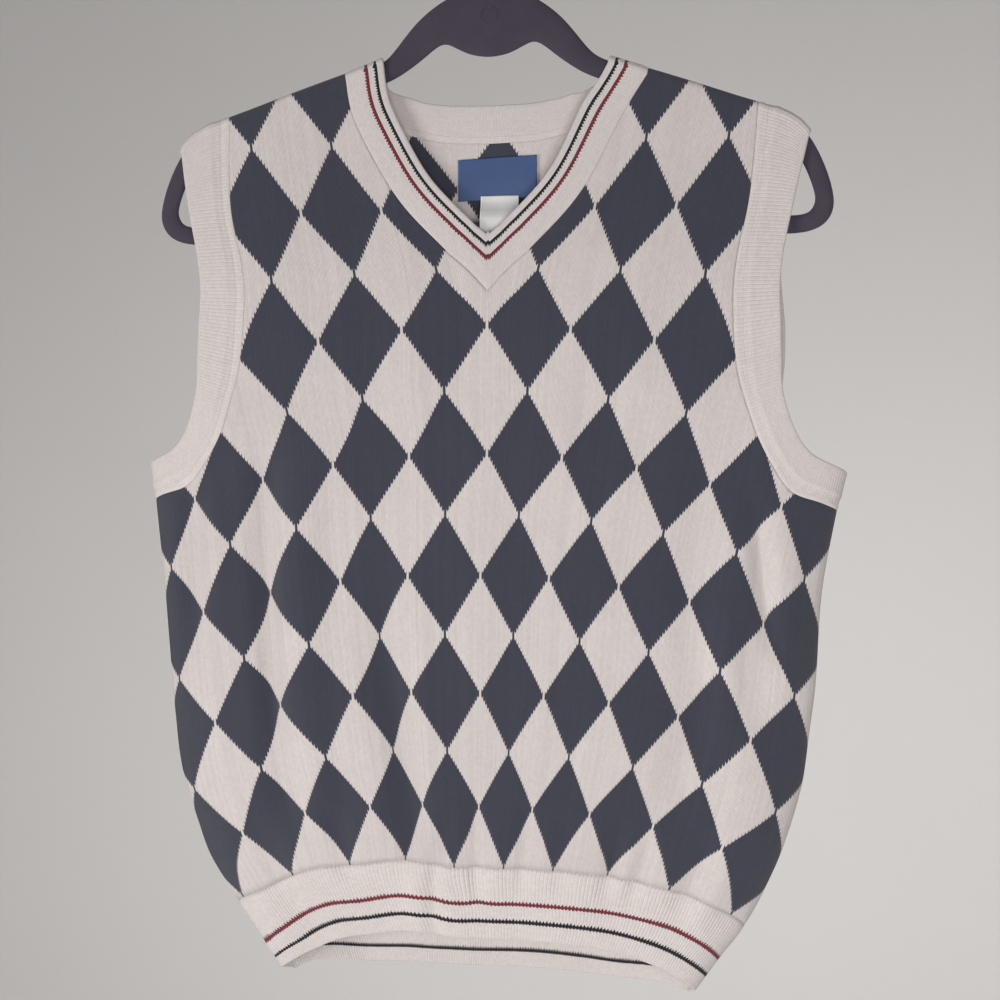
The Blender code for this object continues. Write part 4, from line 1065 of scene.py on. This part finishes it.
class VEST_OT_panels(bpy.types.Operator):
    """Knit the front and the back over their walls, with the harlequin in whole stitches"""

    bl_idname = "vest.panels"
    bl_label = "Panels"

    def execute(self, context):
        sizes, colours = context.scene.vest_sizes, context.scene.vest_colours
        finish = jersey("harlequin_jersey", sizes, colours)
        for face, name, node, slot in (
            (FRONT, "jersey_front", "front_panel", "knit_front"),
            (BACK, "jersey_back", "back_panel", "knit_back"),
        ):
            place_piece(make_panel(name, face, sizes.panel_wall, finish), node)
        return {"FINISHED"}


# ------------------------------------------------------------------ hem ribs
HEM_EDGE_RADIUS = 0.0010
HEM_STEPS_PER_RIB = 6
HEM_LINES = 18
HEM_EDGE_BAND = 0.0016
HEM_HALF_WALL = 0.00085
# How far the hem's middle surface stands off the drape at its join, and how much more below that.
HEM_STAND_OFF = 0.0009
HEM_STAND_MORE = 0.0004
HEM_STAND_REACH = 0.006
# The share of their depth that the ribs have at the join, and how soon they have all of it.
HEM_RIB_START = 0.45
HEM_RIB_REACH = 0.002
HEM_RIB_FULLNESS = 0.4
# Where gathers push the ribs together, so that they stand out more.
Crowding = namedtuple("Crowding", "across width more")
HEM_CROWDING = (Crowding(-0.7, 0.7, 0.9), Crowding(-7.2, 1.6, 0.6), Crowding(4.5, 1.2, 0.25))


def rib_crest(phase):
    """Height from 0 to 1 over ribs that are counted along them."""
    return 0.5 - 0.5 * np.cos(2 * math.pi * phase)


def edge_rounding(distance, radius):
    """How much of its thickness a rounded edge has this far in from its tip."""
    return np.sqrt(np.clip(1.0 - (1.0 - np.minimum(distance / radius, 1.0)) ** 2, 0.0, 1.0))


def make_hem_rib(name, face, sizes, finish):
    """Rib knitted on below a panel: ridges outside stand over valleys inside, and the edge is round."""
    top = hem_row(face, 0.0) - GAP_ROWS
    long = RIB_ROWS * DIAMOND_ROW
    edge = HEM_EDGE_RADIUS * (1 - np.cos(np.linspace(0, math.pi / 2, 6)))
    down = np.concatenate([np.linspace(0.0, long - HEM_EDGE_BAND, HEM_LINES), (long - edge)[::-1]])
    levels = (top, hem_row(face, RIB_ROWS / 2), hem_row(face, RIB_ROWS))
    rows = np.interp(down / long, (0.0, 0.5, 1.0), levels)
    fine = sizes.hem_ribs * HEM_STEPS_PER_RIB
    share = np.linspace(-1.0, 1.0, fine + 1)
    across = np.sign(share) * even_across(face, np.full(share.shape, top), np.abs(share))
    across = np.clip(across, -SIDE_LIMIT, SIDE_LIMIT)[None, :].repeat(len(rows), axis=0)
    row = rows[:, None].repeat(fine + 1, axis=1)
    base, ways = hang(face, across, row), outward(face, across, row)
    phase = np.arange(fine + 1) / HEM_STEPS_PER_RIB
    ridge = rib_crest(phase) ** HEM_RIB_FULLNESS
    crowd = 1.0
    for spot in HEM_CROWDING:
        crowd = crowd + spot.more * np.exp(-(((across - spot.across) / spot.width) ** 2))
    depth = sizes.hem_rib_depth * np.minimum(1.0, HEM_RIB_START + down / HEM_RIB_REACH)[:, None] * crowd
    stand = HEM_STAND_OFF + HEM_STAND_MORE * np.minimum(down / HEM_STAND_REACH, 1.0)[:, None]
    middle = stand + depth * (ridge - 0.5)
    half = HEM_HALF_WALL * edge_rounding(long - down, HEM_EDGE_RADIUS)[:, None]
    outer = base + ways * (middle + half)[..., None]
    inner = base + ways * (middle - half)[..., None]
    quads = grid_quads(np.arange(outer[..., 0].size).reshape(outer.shape[:2]))
    chart = np.stack(np.broadcast_arrays(phase, down[:, None]), axis=-1).reshape(-1, 2)
    return shell_piece(name, inner.reshape(-1, 3), outer.reshape(-1, 3), quads, chart, finish)


class VEST_OT_hem_ribs(bpy.types.Operator):
    """Knit the ribbed hem on below both panels, with its two stripes"""

    bl_idname = "vest.hem_ribs"
    bl_label = "Hem ribs"

    def execute(self, context):
        sizes, colours = context.scene.vest_sizes, context.scene.vest_colours
        stripes = (
            Stripe(0.0237, sizes.hem_stripe, colours.burgundy, 0.0019, 0.0009),
            Stripe(0.0357, sizes.hem_stripe, colours.black, 0.0019, 0.0009),
        )
        finish = rib_knit("hem_rib_knit", colours, stripes, 0.93, join_groove_shade=0.0012)
        for face, name, node, above in (
            (FRONT, "hem_rib_knit_front", "hem_rib_front", "jersey_front"),
            (BACK, "hem_rib_knit_back", "hem_rib_back", "jersey_back"),
        ):
            piece = make_hem_rib(name, face, sizes, finish)
            place_piece(piece, node)
        return {"FINISHED"}


# ------------------------------------------------------------------ bands
BAND_STEPS_PER_RIB = 6
# Places across a band from its seam to its free edge, closest where its section bends.
SECTION_EDGE_SHARE = 0.055
SECTION_SEAM = (0.0, 0.006, 0.015, 0.028, 0.05)
SECTION_RISE = (0.085, 0.12, 0.16, 0.20, 0.25, 0.29, 0.33, 0.37, 0.42)
SECTION_FLAT = (0.52, 0.64, 0.77, 0.90)
SECTION_EDGE = 1 - SECTION_EDGE_SHARE * (1 - np.sin(np.linspace(0.3, 1.5, 6)))
SECTION_OUT = np.round(np.concatenate([SECTION_SEAM, SECTION_RISE, SECTION_FLAT, SECTION_EDGE]), 5)
INNER_LAYER_EDGE = 0.36
SEAM_RISE = 0.22
# How thick a band is at its seam, how high it stands over its inner layer's edge, and where and how
# deep the chain that links it on has sunk in.
SEAM_SHARE = 0.40
LAYER_CREST = 0.00026
LINKED_AT = 0.16
LINKED_DEPTH = 0.00035
# How far round the turn over the hanger a band already has its full flare.
TURN_MARGIN = 1.05
# How much of a band's relief the neck band has.
NECK_RELIEF = 0.30
NECK_TURN_STEPS = 10
FEWEST_RIBS = 8
# How many times a band's free edge is evened out, so that it sweeps round the underarm.
EDGE_EASING = 3500


def band_section(wall, relief):
    """Heights of a band's outer and inner face at the places across it, seam to free edge."""
    out = SECTION_OUT
    half = wall / 2 * edge_rounding(1.0 - out, SECTION_EDGE_SHARE)
    gentle = SEAM_SHARE + 0.60 * np.sin(math.pi / 2 * np.minimum(out / SEAM_RISE, 1.0))
    layer = np.clip((out - INNER_LAYER_EDGE + 0.10) / 0.12, 0.0, 1.0)
    stepped = SEAM_SHARE + 0.25 * np.minimum(out / 0.06, 1.0) + 0.35 * layer**2 * (3 - 2 * layer)
    seam = gentle + (stepped - gentle) * relief
    crest = LAYER_CREST * relief * np.exp(-(((out - INNER_LAYER_EDGE) / 0.05) ** 2))
    linking = -LINKED_DEPTH * relief * np.exp(-(((out - LINKED_AT) / 0.035) ** 2))
    return wall / 2 + half * seam + crest + linking, wall / 2 - half


def band_faces(base, ways, sizes, phase, relief=1.0):
    """Outer and inner points of a band's stations, ribbed across its width."""
    outer, inner = band_section(sizes.band_wall, relief)
    held = np.minimum(SECTION_OUT / 0.10, 1.0) * np.minimum((1 - SECTION_OUT) / 0.04, 1.0)
    ribbing = sizes.band_rib_depth * relief * (rib_crest(phase)[:, None] - 1.0) * held
    front, back = (base + ways * height[..., None] for height in (outer + ribbing, inner - ribbing * 0.5))
    return np.concatenate([front, back[:, ::-1]], axis=1)


def armhole_half(face, side, sizes, rib_count):
    """Stations of an armhole band along one panel, from the underarm up to the shoulder."""
    seams = SEAMS[face, side]
    steps = rib_count * BAND_STEPS_PER_RIB
    turn_length = SHOULDER_TURN_ROWS * DIAMOND_ROW * TURN_MARGIN
    top = np.array([[seams.tops[1].across, seams.tops[1].row]])
    path = np.concatenate([seams.arm_path, top])
    lengths = run_lengths(path * PATTERN_SCALE)
    wanted = np.linspace(0.0, lengths[-1], steps + 1)
    arm = resample(path, lengths, wanted)
    spots = arm * PATTERN_SCALE
    run = np.gradient(spots, axis=0)
    away = unit(np.stack([run[:, 1], -run[:, 0]], axis=1))
    away[0] = (0.0, 1.0)
    below = np.linalg.norm(spots[-1] - spots, axis=1)
    nearness = np.exp(-((below / BAND_FLARE_REACH) ** 2))
    nearness = np.where(lengths[-1] - wanted < turn_length, 1.0, nearness)[:, None]
    away = unit(away * (1 - nearness) + np.array((1.0, 0.0)) * nearness)
    width = BAND_WIDTH + BAND_FLARE * nearness
    edge = spots + away * np.concatenate([width, width * (1 - nearness)], axis=1)
    for _ in range(EDGE_EASING):
        edge[1:-1] = (edge[:-2] + edge[2:]) / 2
    reach = edge - spots
    gap = SEAM_GAP / np.linalg.norm(reach, axis=1, keepdims=True)
    off = gap + (1 - gap) * SECTION_OUT
    across = np.minimum(arm[:, :1] + reach[:, :1] * off / DIAMOND_HALF_WIDTH, PANEL_HALF)
    row = arm[:, 1:] + reach[:, 1:] * off / DIAMOND_ROW
    near = nearness[:, 0] > 0.01
    tops = shoulder_row(face, side * arm[near, :1])
    row[near] += (shoulder_row(face, side * across[near]) - tops) * nearness[near]
    phase = np.linspace(0.0, rib_count, steps + 1)
    base, ways = hang(face, side * across, row), outward(face, side * across, row)
    return band_faces(base, ways, sizes, phase), phase, float(lengths[-1])


def neck_half(face, side, sizes, rib_count):
    """Stations of the neck band along one panel, from its middle up to the shoulder."""
    seams = SEAMS[face, side]
    steps = rib_count * BAND_STEPS_PER_RIB - NECK_TURN_STEPS
    lengths = run_lengths(seams.neck_path * PATTERN_SCALE)
    course = resample(seams.neck_path, lengths, np.linspace(0.0, lengths[-1], steps + 1))
    left = 1 - np.arange(1, NECK_TURN_STEPS + 1) / NECK_TURN_STEPS
    top = seams.tops[0]
    turn = np.stack([np.full(NECK_TURN_STEPS, top.across), top.row - SHOULDER_TURN_ROWS * left], axis=1)
    course = np.concatenate([course, turn])
    x, height, _, _ = flat_place(face, side * course[:, 0], course[:, 1])
    seam = np.stack([x, height], axis=1)
    run = np.gradient(seam[: steps + 1], axis=0)
    away = unit(np.stack([-run[:, 1], run[:, 0]], axis=1)) * side
    away = np.concatenate([away, np.tile((-float(side), 0.0), (NECK_TURN_STEPS, 1))])
    nearness = np.exp(-((np.linalg.norm(seam[-1] - seam, axis=1) / BAND_FLARE_REACH) ** 2))
    nearness[steps:] = 1.0
    nearness = nearness[:, None]
    away = unit(away * (1 - nearness) + np.array((-float(side), 0.0)) * nearness)
    edge_x = seam[:, :1] + away[:, :1] * NECK_BAND_WIDTH
    edge_height = seam[:, 1:] + away[:, 1:] * NECK_BAND_WIDTH * (1 - nearness)
    edge_height = edge_height + (hanger_top(edge_x) - hanger_top(seam[:, :1])) * nearness
    edge = np.concatenate([edge_x, edge_height], axis=1)
    first = seam[4] - seam[0]
    edge[0] = (0.0, seam[0, 1] + NECK_BAND_WIDTH * float(np.hypot(*first)) / abs(first[0]))
    kept = np.concatenate([edge[:1], edge[1 : steps + 1][side * edge[1 : steps + 1, 0] > 0.001]])
    kept_lengths = run_lengths(kept)
    seam_lengths = run_lengths(seam[: steps + 1])
    wanted = seam_lengths / seam_lengths[-1] * kept_lengths[-1]
    edge[: steps + 1] = resample(kept, kept_lengths, wanted)
    across = edge - seam
    gap = SEAM_GAP / np.linalg.norm(across, axis=1, keepdims=True)
    share = gap + (1 - gap) * SECTION_OUT
    spot_x = seam[:, :1] + across[:, :1] * share
    level = seam[:, 1:] + across[:, 1:] * share
    over = seam[:, 1:] + hanger_top(spot_x) - hanger_top(seam[:, :1])
    spot_height = level + (over - level) * nearness**2
    base = drape(face, spot_x, spot_height)
    ways = facing_out(face, drape, spot_x, spot_height, DRAPE_STEP)
    phase = np.linspace(0.0, rib_count, len(course))
    return band_faces(base, ways, sizes, phase, NECK_RELIEF), phase, float(lengths[-1])


def make_band(name, runs, half_of, path, width, sizes, finishes):
    """A folded rib band round a cut, all in one ring, and the length of its seam."""
    lines, phases = [], []
    start = seam = 0.0
    for face, side, backwards in runs:
        cut = run_lengths(getattr(SEAMS[face, side], path) * PATTERN_SCALE)[-1]
        ribs = max(FEWEST_RIBS, round(float(cut) / sizes.band_rib))
        points, phase, length = half_of(face, side, sizes, ribs)
        lines.append(points[::-1] if backwards else points)
        phases.append(start + phase[:-1])
        start += phase[-1]
        seam += length
    for line, after in zip(lines, lines[1:] + lines[:1]):
        line[-1] = after[0] = (line[-1] + after[0]) / 2
    stations = np.concatenate([line[:-1] for line in lines])
    breadths = (1.0 - np.concatenate([SECTION_OUT, SECTION_OUT[::-1]])) * width
    numbers = np.repeat([0, len(finishes) - 1], len(SECTION_OUT))
    phases = np.concatenate(phases + [[start]])
    return ring_piece(name, stations, phases, breadths, finishes, numbers), seam


class VEST_OT_bands(bpy.types.Operator):
    """Knit the folded rib bands on round the neck and both armholes"""

    bl_idname = "vest.bands"
    bl_label = "Neck and armhole bands"

    def execute(self, context):
        sizes, colours = context.scene.vest_sizes, context.scene.vest_colours
        plain = rib_knit("band_rib_knit", colours, (), 0.93, linked=0.0212)
        stripes = (
            Stripe(0.0050, sizes.neck_stripe, colours.black, 0.0001, 0.0013),
            Stripe(0.0111, sizes.neck_stripe * 1.2, colours.burgundy, 0.0002, 0.0012),
        )
        striped = rib_knit("striped_rib_knit", colours, stripes, 0.95)
        runs = (FRONT, LEFT, False), (BACK, LEFT, True), (BACK, RIGHT, False), (FRONT, RIGHT, True)
        finishes = [striped, plain]
        neck, seam = make_band(
            "neck_rib_knit", runs, neck_half, "neck_path", NECK_BAND_WIDTH, sizes, finishes
        )
        place_piece(neck, "neck_band")
        for side, name, node in (
            (LEFT, "armhole_rib_knit_left", "armhole_band_left"),
            (RIGHT, "armhole_rib_knit_right", "armhole_band_right"),
        ):
            runs = (FRONT, side, False), (BACK, side, True)
            band, seam = make_band(name, runs, armhole_half, "arm_path", BAND_WIDTH, sizes, [plain])
            place_piece(band, node)
        return {"FINISHED"}


# ------------------------------------------------------------------ labels
Fall = namedtuple("Fall", "height behind")
Label = namedtuple("Label", "left right thick tilt fall")
NECK_FALL = table(Fall, (-0.2023, 0.0050), (-0.1888, 0.0041), (-0.1753, 0.0034))
NECK_LABEL = Label(-0.0210, 0.0310, 0.0007, 0.045, NECK_FALL)
CARE_FALL = table(
    Fall,
    (-0.2390, -0.0037),
    (-0.2320, -0.0036),
    (-0.2245, -0.0035),
    (-0.2190, -0.0034),
    (-0.2160, -0.0030),
    (-0.2125, -0.0012),
    (-0.2090, 0.0012),
    (-0.2050, 0.0030),
    (-0.2005, 0.0033),
)
CARE_LABEL = Label(-0.0060, 0.0190, 0.0005, 0.0, CARE_FALL)
LABEL_COLUMNS = 52
LABEL_ROWS = 56
LABEL_BOW = 0.00025
LABEL_RIPPLE = 0.0001


def make_label(name, label, finish):
    """A woven label that hangs inside the back of the neck, a little bowed."""
    u = np.linspace(0.0, 1.0, LABEL_COLUMNS + 1)[None, :]
    bottom, top = label.fall[0].height, label.fall[-1].height
    height = np.linspace(bottom, top, LABEL_ROWS + 1)[:, None]
    x = label.left + (label.right - label.left) * u
    behind = along(label.fall, "height", "behind", height)
    bow = LABEL_BOW * np.sin(math.pi * u) + LABEL_RIPPLE * np.sin(9 * u + 60 * (height - bottom))
    z = height + (u - 0.5) * (label.right - label.left) * label.tilt
    base = np.stack(np.broadcast_arrays(x, behind - bow, z), axis=-1)
    sideways, upwards = np.gradient(base, axis=1), np.gradient(base, axis=0)
    ways = unit(np.cross(sideways, upwards))
    front = base + ways * label.thick
    quads = grid_quads(np.arange(base[..., 0].size).reshape(base.shape[:2]))
    middle = (label.left + label.right) / 2
    chart = np.stack(np.broadcast_arrays(x - middle, height - top), axis=-1).reshape(-1, 2)
    return shell_piece(name, base.reshape(-1, 3), front.reshape(-1, 3), quads, chart, finish)


class VEST_OT_labels(bpy.types.Operator):
    """Sew the bare neck label and the care label inside the back of the neck"""

    bl_idname = "vest.labels"
    bl_label = "Labels"

    def execute(self, context):
        colours = context.scene.vest_colours
        blue = satin_label("blue_satin", colours.label_blue, 0.00042, 0.0252)
        white = satin_label("white_satin", colours.label_white, 0.00036, 0.0119)
        for name, label, finish, node, slot in (
            ("woven_neck_label", NECK_LABEL, blue, "neck_label", "label_blue"),
            ("woven_care_label", CARE_LABEL, white, "care_label", "label_white"),
        ):
            piece = make_label(name, label, finish)
            place_piece(piece, node)
        return {"FINISHED"}


# ------------------------------------------------------------------ hanger
RING_DROP = 0.0195
RING_RADIUS = 0.0056
RING_BEAD = 0.0005


def smoothed_copy(name, node, levels, finish):
    """A frame node's mesh, made whole again, rounded by subdivision and given its finish."""
    made = bpy.data.objects.new(name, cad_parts[node].data.copy())
    bpy.context.scene.collection.objects.link(made)
    bpy.ops.object.select_all(action="DESELECT")
    bpy.context.view_layer.objects.active = made
    made.select_set(True)
    bpy.ops.object.mode_set(mode="EDIT")
    bpy.ops.mesh.select_all(action="SELECT")
    bpy.ops.mesh.remove_doubles(threshold=0.00001)
    bpy.ops.mesh.tris_convert_to_quads(face_threshold=math.radians(40), shape_threshold=math.radians(40))
    bpy.ops.object.mode_set(mode="OBJECT")
    rounding = made.modifiers.new("Rounding", "SUBSURF")
    rounding.levels = levels
    rounding.render_levels = levels
    bpy.ops.object.modifier_apply(modifier=rounding.name)
    made.data.materials.clear()
    made.data.materials.append(finish)
    bpy.ops.object.shade_smooth()
    made.select_set(False)
    return made


class VEST_OT_hanger(bpy.types.Operator):
    """Flock the hanger and give its hub a blank moulded ring"""

    bl_idname = "vest.hanger"
    bl_label = "Flocked hanger"

    def execute(self, context):
        colours = context.scene.vest_colours
        flock = velvet("flock", colours.flock)
        body = smoothed_copy("flocked_hanger", "hanger_body", 2, flock)
        place_piece(body, "hanger_body")
        bpy.ops.object.select_all(action="DESELECT")
        bpy.ops.mesh.primitive_torus_add(
            major_segments=48,
            minor_segments=10,
            location=(0.0, -HANGER_THICK / 2, HUB_TOP - RING_DROP),
            rotation=(math.pi / 2, 0.0, 0.0),
            major_radius=RING_RADIUS,
            minor_radius=RING_BEAD,
        )
        ring = bpy.context.active_object
        ring.name = "hub_ring"
        bpy.ops.object.transform_apply(location=True, rotation=True, scale=True)
        bpy.ops.object.shade_smooth()
        ring.data.materials.append(flock)
        ring.select_set(False)
        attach(ring, "root")
        return {"FINISHED"}


class VEST_OT_hook(bpy.types.Operator):
    """Round off the frame's hook and give it plated wire"""

    bl_idname = "vest.hook"
    bl_label = "Hook"

    def execute(self, context):
        chrome = plated_wire("plated_wire", context.scene.vest_colours.wire)
        hook = smoothed_copy("wire_hook", "hanger_hook", 1, chrome)
        place_piece(hook, "hanger_hook")
        return {"FINISHED"}


# ------------------------------------------------------------------ studio
VIEW_TARGET = Vector((0.007, 0.0, -0.401))
VIEW_DISTANCE = 0.800
VIEW_TURN = math.radians(5.2)
VIEW_LENS = 43.85
ROOM_RADIUS = 4.0
FLOOR_HEIGHT = -2.60
ROOM_TOP = 2.6
COVE_WIDTH = 0.9
SKY_TINT = (0.93, 0.95, 1.0, 1.0)

StudioLight = namedtuple("StudioLight", "name place aim across tall power warmth")
STUDIO_LIGHTS = table(
    StudioLight,
    ("key_light", (-1.4, -1.2, -0.8), (0.0, 0.0, -0.50), 0.7, 0.7, "key_power", (1.0, 0.99, 0.975)),
    ("fill_light", (0.25, -1.0, -0.62), (0.0, 0.0, -0.50), 0.8, 0.4, "fill_power", (1.0, 0.985, 0.97)),
    ("back_light", (0.6, 2.4, 0.8), (0.0, 0.0, -0.40), 1.8, 1.4, "back_power", (1.0, 0.99, 0.97)),
    ("wall_light", (0.3, 1.2, -0.70), (0.3, 4.0, -0.70), 2.6, 0.8, "wall_power", (1.0, 0.985, 0.97)),
)


def soft_light(light, settings):
    """A large soft panel of light, turned to face a point."""
    lamp = bpy.data.lights.new(light.name, "AREA")
    lamp.shape = "RECTANGLE"
    lamp.size = light.across
    lamp.size_y = light.tall
    lamp.energy = getattr(settings, light.power)
    lamp.color = light.warmth
    made = bpy.data.objects.new(light.name, lamp)
    made.location = light.place
    made.rotation_mode = "QUATERNION"
    made.rotation_quaternion = (Vector(light.aim) - Vector(light.place)).to_track_quat("-Z", "Y")
    bpy.context.scene.collection.objects.link(made)


class VEST_OT_studio(bpy.types.Operator):
    """Build the pale room, its lights and the camera"""

    bl_idname = "vest.studio"
    bl_label = "Studio"

    def execute(self, context):
        settings = context.scene.vest_studio
        bpy.ops.object.select_all(action="DESELECT")
        bpy.ops.mesh.primitive_uv_sphere_add(segments=96, ring_count=64, radius=ROOM_RADIUS)
        room = bpy.context.active_object
        room.name = "room"
        bpy.ops.object.mode_set(mode="EDIT")
        bpy.ops.mesh.select_all(action="SELECT")
        bpy.ops.mesh.bisect(plane_co=(0, 0, ROOM_TOP), plane_no=(0, 0, 1), clear_outer=True)
        bpy.ops.mesh.select_all(action="SELECT")
        bpy.ops.mesh.bisect(
            plane_co=(0, 0, FLOOR_HEIGHT), plane_no=(0, 0, 1), clear_inner=True, use_fill=True
        )
        bpy.ops.mesh.select_all(action="SELECT")
        bpy.ops.mesh.normals_make_consistent(inside=True)
        bpy.ops.object.mode_set(mode="OBJECT")
        bevel = room.modifiers.new("Cove", "BEVEL")
        bevel.width = COVE_WIDTH
        bevel.segments = 12
        bevel.limit_method = "ANGLE"
        bevel.angle_limit = math.radians(25)
        bpy.ops.object.modifier_apply(modifier=bevel.name)
        bpy.ops.object.shade_smooth()
        room.data.materials.append(backdrop_paint("backdrop_paint", settings.backdrop))
        room.select_set(False)

        for light in STUDIO_LIGHTS:
            soft_light(light, settings)

        world = bpy.data.worlds.new("pale_room")
        world.use_nodes = True
        sky = world.node_tree.nodes["Background"]
        sky.inputs["Color"].default_value = SKY_TINT
        sky.inputs["Strength"].default_value = settings.sky
        bpy.context.scene.world = world
        bpy.context.scene.view_settings.view_transform = "Standard"

        lens = bpy.data.cameras.new("camera")
        lens.lens = VIEW_LENS
        lens.sensor_width = 36.0
        camera = bpy.data.objects.new("camera", lens)
        back = Vector((math.sin(VIEW_TURN), -math.cos(VIEW_TURN), 0.0))
        camera.location = VIEW_TARGET + back * VIEW_DISTANCE
        camera.rotation_euler = (math.pi / 2, 0.0, VIEW_TURN)
        bpy.context.scene.collection.objects.link(camera)
        bpy.context.scene.camera = camera
        return {"FINISHED"}


# ------------------------------------------------------------------ add-on
OPERATORS = (
    VEST_OT_panels,
    VEST_OT_hem_ribs,
    VEST_OT_bands,
    VEST_OT_labels,
    VEST_OT_hanger,
    VEST_OT_hook,
    VEST_OT_studio,
)


class VEST_PT_sidebar(bpy.types.Panel):
    """Sizes, colours and steps of the vest"""

    bl_idname = "VEST_PT_sidebar"
    bl_label = "Knitted Vest"
    bl_space_type = "VIEW_3D"
    bl_region_type = "UI"
    bl_category = "Knitted Vest"

    def draw(self, context):
        layout = self.layout
        for settings in (context.scene.vest_sizes, context.scene.vest_colours, context.scene.vest_studio):
            box = layout.box()
            for key in settings.__annotations__:
                box.prop(settings, key)
        for step in OPERATORS:
            layout.operator(step.bl_idname)


SETTINGS = (("vest_sizes", VestSizes), ("vest_colours", VestColours), ("vest_studio", StudioSettings))
CLASSES = tuple(kind for _, kind in SETTINGS) + OPERATORS + (VEST_PT_sidebar,)


def register():
    for kind in CLASSES:
        bpy.utils.register_class(kind)
    for key, kind in SETTINGS:
        setattr(bpy.types.Scene, key, PointerProperty(type=kind))


def unregister():
    for key, _ in SETTINGS:
        delattr(bpy.types.Scene, key)
    for kind in reversed(CLASSES):
        bpy.utils.unregister_class(kind)


def main():
    register()
    bpy.ops.vest.studio()
    bpy.ops.vest.panels()
    bpy.ops.vest.hem_ribs()
    bpy.ops.vest.bands()
    bpy.ops.vest.labels()
    bpy.ops.vest.hanger()
    bpy.ops.vest.hook()
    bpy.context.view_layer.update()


if __name__ == "__main__":
    main()
